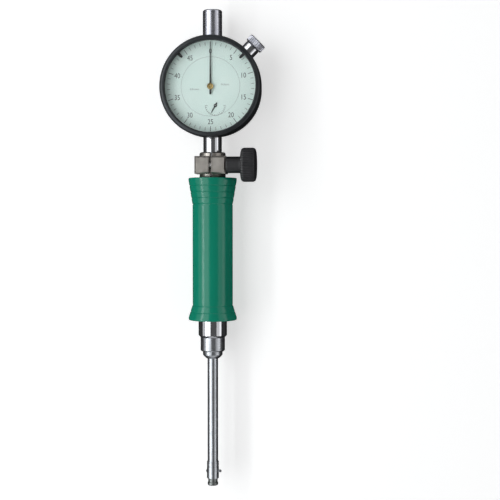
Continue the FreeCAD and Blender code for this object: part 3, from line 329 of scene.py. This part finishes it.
# ---- Clamp for the indicator's stem ----
# A steel collar, slit between two square lugs that are milled and brushed, with bright bevelled edges.
# A screw with a black moulded knob draws the lugs together; the knob's rim has fine ribs.
brushed_lugs, tree, shader = finish("brushed_lugs", (0.50, 0.47, 0.43), 1.0, 0.4)
strokes = grain(tree, 2600.0, (1, 0.03, 1), 3.0)
clouds = grain(tree, 260.0, (1, 1, 1), 4.0)
tint(tree, shader, clouds, (0.56, 0.53, 0.49), (0.40, 0.37, 0.34))
tree.links.new(spread(tree, strokes, 0.30, 0.52), shader.inputs["Roughness"])
emboss(tree, shader, strokes, 4e-6, 0.6)


def softened(name, node, width, material, body, segments=3):
    """A copy of a CAD node with its triangles merged and its sharp edges rounded by a bevel."""
    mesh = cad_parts[node].data.copy()
    mesh.name = name
    shape = bmesh.new()
    shape.from_mesh(mesh)
    bmesh.ops.remove_doubles(shape, verts=shape.verts, dist=1e-6)
    bmesh.ops.dissolve_limit(shape, angle_limit=math.radians(0.5), verts=shape.verts, edges=shape.edges)
    shape.to_mesh(mesh)
    shape.free()
    mesh.materials.clear()
    mesh.materials.append(material)
    mesh.polygons.foreach_set("use_smooth", np.ones(len(mesh.polygons), bool))
    mesh.set_sharp_from_angle(angle=math.radians(30))
    piece = bpy.data.objects.new(name, mesh)
    bpy.context.scene.collection.objects.link(piece)
    bevel = piece.modifiers.new("edges", "BEVEL")
    bevel.width = width
    bevel.segments = segments
    bevel.limit_method = "ANGLE"
    bevel.angle_limit = math.radians(35)
    bevel.harden_normals = True
    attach(piece, body)
    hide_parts(node)
    return piece


softened("stem_clamp", "clamp_collar", 0.16 * mm, brushed_lugs, "gauge")

knob_black, tree, shader = finish("knob_black", (0.018, 0.018, 0.020), 0.0, 0.38, 1.5)
pores = grain(tree, 2200.0, (1, 1, 1), 3.0)
tint(tree, shader, grain(tree, 300.0, (1, 1, 1), 3.0), (0.014, 0.014, 0.016), (0.026, 0.026, 0.029))
tree.links.new(spread(tree, pores, 0.32, 0.46), shader.inputs["Roughness"])
emboss(tree, shader, pores, 1.2e-5, 0.5)

low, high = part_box("clamp_knob")
knob_y, knob_z = (low.y + high.y) / 2, (low.z + high.z) / 2
knob_face, knob_end, knob_radius = low.x, high.x, (high.y - low.y) / 2
hub_radius, rim_start = 3.55 * mm, high.x - 6.45 * mm
insert = 1.52 * mm


def knob_ribs(station, radius, angle):
    """Rounded ribs on the rim: depth times (1 - |cos(n angle / 2)|), fading out at both shoulders."""
    inside = np.clip((station - rim_start) / (0.8 * mm), 0, 1)
    inside = inside * np.clip((knob_end - station) / (0.8 * mm), 0, 1)
    rim = radius > 0.9 * knob_radius
    return -0.26 * mm * (1 - np.abs(np.cos(18 * angle))) * inside * rim


profile = eased([
    (knob_face, insert), (knob_face, hub_radius - 0.35 * mm), (knob_face + 0.35 * mm, hub_radius),
    (rim_start - 0.4 * mm, hub_radius), (rim_start, hub_radius + 0.4 * mm),
    (rim_start, knob_radius - 1.2 * mm),
    (rim_start + 0.36 * mm, knob_radius - 0.36 * mm), (rim_start + 1.2 * mm, knob_radius),
    (knob_end - 1.2 * mm, knob_radius), (knob_end - 0.36 * mm, knob_radius - 0.36 * mm),
    (knob_end, knob_radius - 1.2 * mm), (knob_end, 3.2 * mm), (knob_end - 0.35 * mm, 2.9 * mm),
    (knob_end - 0.35 * mm, 0.4 * mm), (rim_start, 0.4 * mm), (rim_start, insert)], 0.3 * mm, 5, True)
turned("clamp_screw_knob", profile, 0, (0, knob_y, knob_z), knob_black, "clamp_knob", "clamp_knob",
       around=288, relief=knob_ribs, slot="black_knob", crease=50.0)


def thread(station, radius, angle, pitch=0.5 * mm, depth=0.14 * mm):
    """A single start thread: depth times the triangle wave of station / pitch minus angle / 2 pi."""
    phase = (station / pitch - angle / (2 * np.pi)) % 1.0
    return -depth * np.abs(2 * phase - 1) * (radius > 0.1 * mm)


low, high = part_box("clamp_screw")
stations = np.linspace(low.x, high.x, 190)
profile = np.stack([stations, np.full(len(stations), (high.z - low.z) / 2)], 1)
profile = np.vstack([[[low.x, 0.0]], profile, [[high.x, 0.0]]])
turned("clamp_screw_thread", profile, 0, (0, knob_y, knob_z), plain_steel, "clamp_knob", "clamp_screw",
       around=48, relief=thread, slot="plain_steel", crease=70.0)

# ---- Dial case and back ----
# A cast and painted case with a flat back cover, held by four slotted screws over a thin rubber gasket.
# The paint is satin black with a fine even texture.
case_paint, tree, shader = finish("case_paint", (0.030, 0.030, 0.033), 0.0, 0.45, 1.5)
speckle = grain(tree, 1500.0, (1, 1, 1), 4.0)
tint(tree, shader, grain(tree, 120.0, (1, 1, 1), 3.0), (0.024, 0.024, 0.027), (0.040, 0.040, 0.044))
tree.links.new(spread(tree, speckle, 0.38, 0.55), shader.inputs["Roughness"])
emboss(tree, shader, speckle, 1.5e-5, 0.45)
rubber, tree, shader = finish("gasket_rubber", (0.02, 0.02, 0.02), 0.0, 0.8, 1.45)
tree.links.new(spread(tree, grain(tree, 1200.0), 0.7, 0.9), shader.inputs["Roughness"])
emboss(tree, shader, grain(tree, 2500.0), 1e-5, 0.5)
dress(case_paint, "case", "back_cover")
dress(rubber, "back_gasket")


def slotted(name, places, axis_profile, slot_width, slot_depth, face, material, body, node, mark):
    """Turned screws cut across their heads: points of the slot are pressed in to slot_depth."""
    parts, faces, count = [], [], 0
    p = np.asarray(axis_profile, float)
    rows, around = p[1:-1], 48
    v = np.linspace(0, 2 * np.pi, around, endpoint=False)
    x = rows[:, 1:] * np.cos(v)
    y = rows[:, 1:] * np.sin(v)
    z = np.broadcast_to(rows[:, :1], x.shape).copy()
    head = np.abs(z - face) < 1e-7
    cut = head & (np.abs(y) < slot_width / 2)
    inward = np.sign(p[-1, 0] - p[0, 0]) if face == p[0, 0] else np.sign(p[0, 0] - p[-1, 0])
    z = np.where(cut, z + inward * slot_depth, z)
    ends = np.array([[0, 0, p[0, 0]], [0, 0, p[-1, 0]]])
    ends[np.abs(ends[:, 2] - face) < 1e-7, 2] += inward * slot_depth
    one = np.vstack([np.stack([x, y, z], -1).reshape(-1, 3), ends])
    quads = np.array(grid_faces(len(rows), around))
    j = np.arange(around)
    top, last = len(rows) * around, (len(rows) - 1) * around
    fans = np.vstack([np.stack([j, (j + 1) % around, np.full(around, top)], 1),
                      np.stack([last + (j + 1) % around, last + j, np.full(around, top + 1)], 1)])
    for k, (cx, cy, turn) in enumerate(places):
        c, s = math.cos(turn), math.sin(turn)
        placed = one @ np.array([[c, s, 0], [-s, c, 0], [0, 0, 1]]) + np.array([cx, cy, 0])
        parts.append(placed)
        faces += (quads + count).tolist() + (fans + count).tolist()
        count += len(one)
    return put(name, np.vstack(parts), faces, material, body, node, slot=mark, crease=30.0)


def disc_rings(radius, count):
    """Radii of rings that fill a flat head, so that a slot can be pressed into it."""
    return np.linspace(radius / count, radius, count)


low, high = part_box("back_screws")
screw_head, screw_shank, head_depth, head_rings = 1.3 * mm, 0.7 * mm, 0.8 * mm, 12
angle, circle = math.radians(30.0), math.hypot(low.x + screw_head, low.y + screw_head)
places = [(sx * circle * math.cos(angle), sy * circle * math.sin(angle), sx * sy * 0.5 + 0.3)
          for sx, sy in ((1, 1), (-1, 1), (-1, -1), (1, -1))]
head = disc_rings(screw_head - 0.04 * mm, head_rings)
profile = np.vstack([
    [[low.z, 0.0]], np.stack([np.full(head_rings, low.z), head], 1),
    [[low.z + 0.05 * mm, screw_head], [head_depth, screw_head], [head_depth, screw_shank],
     [high.z - 0.2 * mm, screw_shank], [high.z, screw_shank - 0.2 * mm], [high.z, 0.0]]])
slotted("case_back_screws", places, profile, 0.5 * mm, 0.35 * mm, low.z, plain_steel, "gauge",
        "back_screws", "plain_steel")

# ---- Stem, bushes and spindle cap ----
# The indicator's polished 8 mm stem carries it in the clamp; a closed satin cap covers the spindle's end.
# Both are steel with chromium plate, and their spindle bushes are brass.
dress(bright_chrome, "stem")
dress(brass, "lower_bush", "upper_bush")
low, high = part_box("spindle_cap")
cap_radius = (high.x - low.x) / 2
cap_bore, cap_bevel, cap_end, cap_middle = 2.77 * mm, 0.45 * mm, 1.6 * mm, 0.02 * mm
profile = eased([
    (low.y, cap_bore), (low.y, cap_radius), (high.y - cap_bevel, cap_radius),
    (high.y, cap_radius - cap_bevel), (high.y, cap_middle), (high.y - cap_end, cap_middle),
    (high.y - cap_end, cap_bore)], 0.14 * mm, 5, True)
turned("spindle_cover_cap", profile, 1, (0, 0, axis_z), satin_chrome, "gauge", "spindle_cap",
       around=128, slot="satin_chrome")

# ---- Bezel ----
# A satin black ring that turns on the case's neck; its front is rounded and its rim finely knurled.
# A snap wire holds it, and a thin ring keeps the crystal up against its lip.
bezel_black, tree, shader = finish("bezel_black", (0.030, 0.034, 0.038), 0.35, 0.34, 1.5)
speckle = grain(tree, 1300.0, (1, 1, 1), 4.0)
tint(tree, shader, grain(tree, 90.0, (1, 1, 1), 3.0), (0.026, 0.030, 0.034), (0.040, 0.044, 0.048))
tree.links.new(spread(tree, speckle, 0.28, 0.42), shader.inputs["Roughness"])
emboss(tree, shader, speckle, 8e-6, 0.35)
low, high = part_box("bezel")
bezel_low, bezel_high, bezel_radius = low.z, high.z, (high.x - low.x) / 2
bezel_bore, opening, lip = 19.8 * mm, 19.5 * mm, bezel_high - 0.5 * mm
groove_low, groove_high, groove = bezel_low + 0.9 * mm, bezel_low + 1.3 * mm, bezel_bore + 0.24 * mm
profile = [
    (bezel_low, bezel_bore), (bezel_low, bezel_radius - 0.3 * mm), (bezel_low + 0.3 * mm, bezel_radius),
    (bezel_high - 1.5 * mm, bezel_radius), (bezel_high - 0.42 * mm, bezel_radius - 0.4 * mm),
    (bezel_high, bezel_radius - 1.35 * mm), (bezel_high, opening + 0.25 * mm),
    (bezel_high - 0.25 * mm, opening), (lip, opening), (lip, bezel_bore), (groove_high, bezel_bore),
    (groove_high, groove), (groove_low, groove), (groove_low, bezel_bore)]
sizes = [v * mm for v in (0.05, 0.2, 0.2, 0.5, 0.5, 0.5, 0.15, 0.15, 0.05, 0.05, 0.03, 0.03, 0.03, 0.03)]


def rim_knurl(station, radius, angle):
    """Fine straight knurl on the rim between plain bands: depth times (1 - |cos(n angle / 2)|)."""
    inside = np.clip((station - bezel_low - 0.7 * mm) / (0.3 * mm), 0, 1)
    inside = inside * np.clip((bezel_high - 1.9 * mm - station) / (0.3 * mm), 0, 1)
    return -0.10 * mm * (1 - np.abs(np.cos(75 * angle))) * inside * (radius > bezel_radius - 0.2 * mm)


rim = np.linspace(bezel_low + 0.6 * mm, bezel_high - 1.8 * mm, 12)
corner_steps = 7
loop = eased(profile, sizes, corner_steps, True)
rim_place = 3 * corner_steps
loop = np.vstack([loop[:rim_place], np.stack([rim, np.full(len(rim), bezel_radius)], 1), loop[rim_place:]])
turned("bezel_ring", loop, 2, (0, 0, 0), bezel_black, "bezel", "bezel", around=900, relief=rim_knurl,
       slot="black_bezel", crease=50.0)
dress(bezel_black, "crystal_retainer")
dress(plain_steel, "snap_wire")

crystal, tree, shader = finish("crystal_clear", (0.98, 1.0, 0.99), 0.0, 0.03, 1.49)
shader.inputs["Transmission Weight"].default_value = 1.0
tree.links.new(spread(tree, grain(tree, 400.0, (1, 1, 1), 5.0), 0.0, 0.03), shader.inputs["Roughness"])
clear = tree.nodes.new("ShaderNodeBsdfTransparent")
path = tree.nodes.new("ShaderNodeLightPath")
blend = tree.nodes.new("ShaderNodeMixShader")
tree.links.new(path.outputs["Is Shadow Ray"], blend.inputs["Fac"])
tree.links.new(shader.outputs["BSDF"], blend.inputs[1])
tree.links.new(clear.outputs["BSDF"], blend.inputs[2])
tree.links.new(blend.outputs["Shader"], tree.nodes["Material Output"].inputs["Surface"])
dress(crystal, "crystal")

# ---- Bezel clamp ----
# A polished steel bush stands out of the case at the upper right; a knurled screw in it locks the bezel.
# The screw's head is chromium plated with a straight knurl, and its cone lifts a small brake pin.
clamp_turn = math.radians(45.3)
head_radius, head_low, head_high = 4.1 * mm, 25.05 * mm, 28.25 * mm
shank, screw_end = 1.2 * mm, 20.25 * mm


def head_knurl(station, radius, angle):
    """Straight knurl of the screw head, 30 teeth, fading at the bevels."""
    inside = np.clip((station - head_low - 0.35 * mm) / (0.2 * mm), 0, 1)
    inside = inside * np.clip((head_high - 0.35 * mm - station) / (0.2 * mm), 0, 1)
    return -0.24 * mm * np.abs(np.cos(15 * angle)) * inside * (radius > head_radius - 0.1 * mm)


side = np.linspace(head_low + 0.3 * mm, head_high - 0.3 * mm, 14)
profile = np.vstack([
    [[screw_end, 0.0], [screw_end, 0.5 * shank], [screw_end + 0.4 * mm, shank], [head_low, shank],
     [head_low, head_radius - 0.3 * mm]], np.stack([side, np.full(len(side), head_radius)], 1),
    [[head_high, head_radius - 0.3 * mm], [head_high, head_radius - 1.0 * mm],
     [head_high - 0.12 * mm, head_radius - 1.15 * mm], [head_high - 0.12 * mm, 0.6 * mm],
     [head_high - 0.12 * mm, 0.0]]])
knurled = turned("bezel_lock_screw", profile, 0, (0, 0, axis_z), satin_chrome, "bezel_clamp_screw",
                 "bezel_clamp_screw", around=360, relief=head_knurl, slot="satin_chrome", crease=50.0)
knurled.data.transform(Matrix.Rotation(clamp_turn, 4, "Z"))
dress(bright_chrome, "bezel_clamp_bush")
dress(plain_steel, "bezel_brake_pin")

# ---- Dial ----
# Two enamelled plates with one face: a ring that turns with the bezel and a fixed centre plate.
# The enamel is a pale mint, matt and fine grained; scale, numerals and circles are printed in black.
dial_enamel, tree, shader = finish("dial_enamel", (0.70, 0.82, 0.785), 0.0, 0.45, 1.45)
speckle = grain(tree, 2500.0, (1, 1, 1), 4.0)
tint(tree, shader, grain(tree, 150.0, (1, 1, 1), 4.0), (0.69, 0.815, 0.78), (0.725, 0.835, 0.80))
tree.links.new(spread(tree, speckle, 0.40, 0.55), shader.inputs["Roughness"])
emboss(tree, shader, speckle, 3e-6, 0.3)
dress(dial_enamel, "dial_plate", "dial_ring")
print_black, tree, shader = finish("print_black", (0.030, 0.034, 0.036), 0.0, 0.5, 1.45)
tint(tree, shader, grain(tree, 3000.0, (1, 1, 1), 3.0), (0.022, 0.025, 0.027), (0.05, 0.055, 0.057))
tree.links.new(spread(tree, grain(tree, 2000.0), 0.42, 0.6), shader.inputs["Roughness"])
print_grey, tree, shader = finish("print_grey", (0.22, 0.25, 0.25), 0.0, 0.5, 1.45)
tint(tree, shader, grain(tree, 3000.0, (1, 1, 1), 3.0), (0.19, 0.22, 0.22), (0.27, 0.30, 0.30))
tree.links.new(spread(tree, grain(tree, 2000.0), 0.42, 0.6), shader.inputs["Roughness"])
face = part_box("dial_plate")[1].z
ink = 0.012 * mm


def printed(name, runs, material, body, mark="dial_face"):
    """Printed lines: each run (x0, y0, x1, y1, width) is a flat ribbon with round ends, raised by the ink.

    Point (k, v) of a run = end + width/2 (cos v, sin v), v over a half circle at each end.
    """
    r = np.asarray(runs, float)
    start, end, width = r[:, 0:2], r[:, 2:4], r[:, 4]
    way = np.arctan2(*(end - start).T[::-1])
    corners = 10
    half = np.linspace(-np.pi / 2, np.pi / 2, corners // 2)
    v = np.concatenate([half, half + np.pi])[None, :] + way[:, None]
    j = np.arange(corners)
    base = np.where((j < corners // 2)[None, :, None], end[:, None], start[:, None])
    ring = base + (width / 2)[:, None, None] * np.stack([np.cos(v), np.sin(v)], -1)
    low = np.concatenate([ring, np.full((*ring.shape[:2], 1), face)], -1)
    high = low + np.array([0, 0, ink])
    points = np.concatenate([low, high], 1).reshape(-1, 3)
    following = (j + 1) % corners
    sides = np.stack([j, following, corners + following, corners + j], 1)
    offsets = np.arange(len(r)) * 2 * corners
    faces = (sides[None] + offsets[:, None, None]).reshape(-1, 4).tolist()
    caps = np.stack([j[::-1], corners + j])[None] + offsets[:, None, None]
    faces += caps.reshape(-1, corners).tolist()
    return put(name, points, faces, material, body, slot=mark)


def clockwise(value, whole=50.0):
    """Angle of a scale value that counts clockwise from the top."""
    return np.radians(90.0 - 360.0 * np.asarray(value, float) / whole)


value = np.arange(50)
long_tick = value % 5 == 0
a = clockwise(value)
inner = np.where(long_tick, 16.9, 17.5) * mm
outer = np.where(long_tick, 19.0, 18.7) * mm
width = np.where(long_tick, 0.22, 0.15) * mm
ticks = np.stack([inner * np.cos(a), inner * np.sin(a), outer * np.cos(a), outer * np.sin(a), width], 1)
printed("dial_scale", ticks, print_black, "bezel")


def lettered(name, words, material, body, mark="dial_face"):
    """Printed words: each (text, x, y, height, width share) becomes a thin mesh on the dial's face."""
    points, faces, count = [], [], 0
    for text, x, y, height, squeeze in words:
        curve = bpy.data.curves.new("letters", "FONT")
        curve.body = text
        curve.align_x, curve.align_y = "CENTER", "CENTER"
        curve.size = 1.0
        curve.extrude = 0.5
        curve.resolution_u = 3
        letters = bpy.data.objects.new("letters", curve)
        mesh = bpy.data.meshes.new_from_object(letters)
        co = np.array([v.co for v in mesh.vertices], float)
        tall = np.ptp(co[:, 1])
        middle = (co[:, :2].max(0) + co[:, :2].min(0)) / 2
        flat = (co[:, :2] - middle) * np.array([squeeze, 1.0]) * height / tall + np.array([x, y])
        z = face + ink * (co[:, 2] > 0)
        points.append(np.column_stack([flat, z]))
        faces += [[count + i for i in p.vertices] for p in mesh.polygons]
        count += len(co)
        bpy.data.objects.remove(letters)
        bpy.data.meshes.remove(mesh)
    return put(name, np.vstack(points), faces, material, body, slot=mark)


numbers = np.arange(0, 50, 5)
at = clockwise(numbers)
number_circle, number_height = 15.0 * mm, 2.15 * mm
lettered("dial_numerals", [(str(n), number_circle * math.cos(t), number_circle * math.sin(t), number_height,
                            0.82) for n, t in zip(numbers, at)], print_black, "bezel")

v = np.linspace(0, 2 * np.pi, 181)
ring = 12.6 * mm
printed("dial_circle", np.stack([ring * np.cos(v[:-1]), ring * np.sin(v[:-1]), ring * np.cos(v[1:]),
                                 ring * np.sin(v[1:]), np.full(180, 0.09 * mm)], 1), print_grey, "gauge")
small_x, small_y, small_r = 2.1 * mm, -8.1 * mm, 4.3 * mm
v = np.radians(np.linspace(180, 360, 46))
arc = np.stack([small_x + small_r * np.cos(v[:-1]), small_y + small_r * np.sin(v[:-1]),
                small_x + small_r * np.cos(v[1:]), small_y + small_r * np.sin(v[1:]),
                np.full(45, 0.10 * mm)], 1)
v = np.radians(np.linspace(180, 360, 16))
tick = np.where(np.arange(16) % 5 == 0, 0.95, 0.55) * mm
marks = np.stack([small_x + small_r * np.cos(v), small_y + small_r * np.sin(v),
                  small_x + (small_r - tick) * np.cos(v), small_y + (small_r - tick) * np.sin(v),
                  np.full(16, 0.12 * mm)], 1)
printed("turn_scale", np.vstack([arc, marks]), print_black, "gauge")
word_height = 0.85 * mm
lettered("dial_units", [("0.01mm", -6.9 * mm, -1.1 * mm, word_height, 1.0),
                        ("0-3mm", 6.3 * mm, 0.8 * mm, word_height, 1.0)], print_grey, "gauge")

# ---- Hands ----
# Stamped and blackened: a long tapered pointer on a brass hub, a small hand for whole turns,
# and two limit hands that are pushed round by hand under the crystal.
hand_black, tree, shader = finish("hand_black", (0.012, 0.012, 0.013), 0.0, 0.42, 1.5)
tint(tree, shader, grain(tree, 800.0, (1, 1, 1), 3.0), (0.010, 0.010, 0.011), (0.02, 0.02, 0.021))
tree.links.new(spread(tree, grain(tree, 1500.0), 0.35, 0.5), shader.inputs["Roughness"])
dress(hand_black, "main_pointer", "counter_pointer", "limit_hand_left", "limit_hand_right")
dress(brass, "pointer_hub")

# ---- Movement ----
# Brass wheels, bridges, pillars and bushes with steel arbors and screws, behind the dial.
# The wheels are stamped and cut, the plates are fine turned, and a flat hairspring takes up the play.
dress(brass, "bridge_plate", "bridge_pillars", "pivot_bushes", "rear_bridge", "rear_pillars",
      "hairspring_stud", "guide_rail", "drive_wheel", "counter_wheel", "hairspring_collet")
dress(plain_steel, "centre_arbor", "rack_arbor", "counter_arbor", "bridge_screws", "spring_post")
dress(spring_steel, "hairspring")

# ---- Spindle and return spring ----
# Ground steel spindle with its rack, contact point and guide pin.
# A close wound extension spring between post and pin pulls it back; its wire ends run to both.
dress(plain_steel, "spindle", "contact_point", "guide_pin")
low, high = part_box("return_spring")
spring_x = (low.x + high.x) / 2
hook = 1.2 * mm
coil_low, coil_high = low.y + hook, high.y - hook
body_turns = winding((spring_x, 0, axis_z), 1, coil_low, coil_high, 0.64 * mm, 22, lead=0.0)
tail = np.linspace(0, 1, 14)[:, None]
below = np.array([[spring_x, low.y, axis_z]]) * (1 - tail) + body_turns[:1] * tail
above = body_turns[-1:] * (1 - tail) + np.array([[spring_x, high.y, axis_z]]) * tail
wire("spindle_return_spring", np.vstack([below[:-1], body_turns, above[1:]]), 0.14 * mm, spring_steel,
     "spindle", "return_spring", sides=8, slot="spring_steel")

# ---- Floor, lights and camera ----
# A plain white floor, a long soft light on each side, and black flags that only mirror reflections see,
# as a studio sets them beside bright metal. The camera looks down from the right, over the handle.
floor_white, tree, shader = finish("floor_white", (0.72, 0.72, 0.72), 0.0, 0.9, 1.45)
glow = tree.nodes.new("ShaderNodeEmission")
path = tree.nodes.new("ShaderNodeLightPath")
seen = tree.nodes.new("ShaderNodeMath")
seen.operation = "MAXIMUM"
seen_too = tree.nodes.new("ShaderNodeMath")
seen_too.operation = "MAXIMUM"
lift = tree.nodes.new("ShaderNodeMath")
lift.operation = "MULTIPLY"
lift.inputs[1].default_value = 0.55
total = tree.nodes.new("ShaderNodeAddShader")
tree.links.new(path.outputs["Is Camera Ray"], seen.inputs[0])
tree.links.new(path.outputs["Is Glossy Ray"], seen.inputs[1])
tree.links.new(seen.outputs[0], seen_too.inputs[0])
tree.links.new(path.outputs["Is Transmission Ray"], seen_too.inputs[1])
tree.links.new(seen_too.outputs[0], lift.inputs[0])
tree.links.new(lift.outputs[0], glow.inputs["Strength"])
tree.links.new(shader.outputs["BSDF"], total.inputs[0])
tree.links.new(glow.outputs["Emission"], total.inputs[1])
tree.links.new(total.outputs["Shader"], tree.nodes["Material Output"].inputs["Surface"])
stations = np.array([(0.0, 0.0), (0.0, 1.6), (0.05, 1.9), (0.3, 2.2), (1.2, 2.4)])
floor_sides = 64
v = np.linspace(0, 2 * np.pi, floor_sides, endpoint=False)
rows = stations[1:]
height = np.broadcast_to(rows[:, :1], (len(rows), floor_sides))
points = np.stack([rows[:, 1:] * np.cos(v), rows[:, 1:] * np.sin(v), height], -1)
points = np.vstack([points.reshape(-1, 3), [[0, 0, 0]]])
mesh = bpy.data.meshes.new("floor")
j = np.arange(floor_sides)
middle = np.full(floor_sides, len(rows) * floor_sides)
mesh.from_pydata(points.tolist(), [], grid_faces(len(rows), floor_sides)
                 + np.stack([j, (j + 1) % floor_sides, middle], 1).tolist())
mesh.polygons.foreach_set("use_smooth", np.ones(len(mesh.polygons), bool))
mesh.materials.append(floor_white)
floor = bpy.data.objects.new("floor", mesh)
bpy.context.scene.collection.objects.link(floor)

flag_black, tree, shader = finish("flag_black", (0.03, 0.03, 0.03), 0.0, 0.9, 1.45)
across = np.array([-0.11, -0.085, -0.06, 0.06, 0.085, 0.11])
rise = np.array([0.03, 0.012, 0.0004, 0.0004, 0.012, 0.03])
along = np.array([-0.26, 0.12])
points = np.stack(np.broadcast_arrays(across[:, None], along[None, :], rise[:, None]), -1).reshape(-1, 3)
i = np.arange(5)
mesh = bpy.data.meshes.new("flags")
mesh.from_pydata(points.tolist(), [], np.stack([2 * i, 2 * i + 2, 2 * i + 3, 2 * i + 1], 1).tolist())
mesh.materials.append(flag_black)
flags = bpy.data.objects.new("flags", mesh)
bpy.context.scene.collection.objects.link(flags)
flags.visible_camera = False
flags.visible_diffuse = False
flags.visible_shadow = False
flags.visible_transmission = False


def strip_light(name, lean, reach, width, length, strength, colour=(1, 1, 1)):
    """A long light parallel to the gauge, leaning from the vertical, at a reach, facing the gauge."""
    light = bpy.data.lights.new(name, "AREA")
    light.shape = "RECTANGLE"
    light.size, light.size_y = width, length
    light.energy = strength * math.pi * width * length
    light.color = colour
    lamp = bpy.data.objects.new(name, light)
    out = Vector((math.sin(math.radians(lean)), 0, math.cos(math.radians(lean))))
    lamp.location = Vector((0, -0.07, axis_z)) + out * reach
    lamp.rotation_euler = (0, math.radians(lean), 0)
    bpy.context.scene.collection.objects.link(lamp)
    return lamp


strip_light("left_bank", -37.0, 0.9, 0.76, 1.8, 1.55, (0.97, 0.99, 1.0))
strip_light("left_tube", -49.0, 0.8, 0.075, 1.6, 5.0, (0.96, 0.99, 1.0))
strip_light("right_bank", 58.0, 0.9, 0.66, 1.8, 0.62)

world = bpy.data.worlds.new("studio")
bpy.context.scene.world = world
world.use_nodes = True
world.node_tree.nodes["Background"].inputs["Color"].default_value = (1, 1, 1, 1)
world.node_tree.nodes["Background"].inputs["Strength"].default_value = 0.10

scene = bpy.context.scene
scene.view_settings.view_transform = "Standard"
lens = bpy.data.cameras.new("camera")
lens.sensor_width = 36.0
lens.lens = 82.2
lens.clip_start, lens.clip_end = 0.01, 20.0
camera = bpy.data.objects.new("camera", lens)
scene.collection.objects.link(camera)
stand = Vector((0.0604, -0.0547, 0.5025))
aim = Vector((0.01626, -0.0699, axis_z))
back = (stand - aim).normalized()
right = Vector((0, 1, 0)).cross(back).normalized()
up = back.cross(right)
camera.matrix_world = Matrix((
    (right.x, up.x, back.x, stand.x), (right.y, up.y, back.y, stand.y), (right.z, up.z, back.z, stand.z),
    (0, 0, 0, 1)))
scene.camera = camera
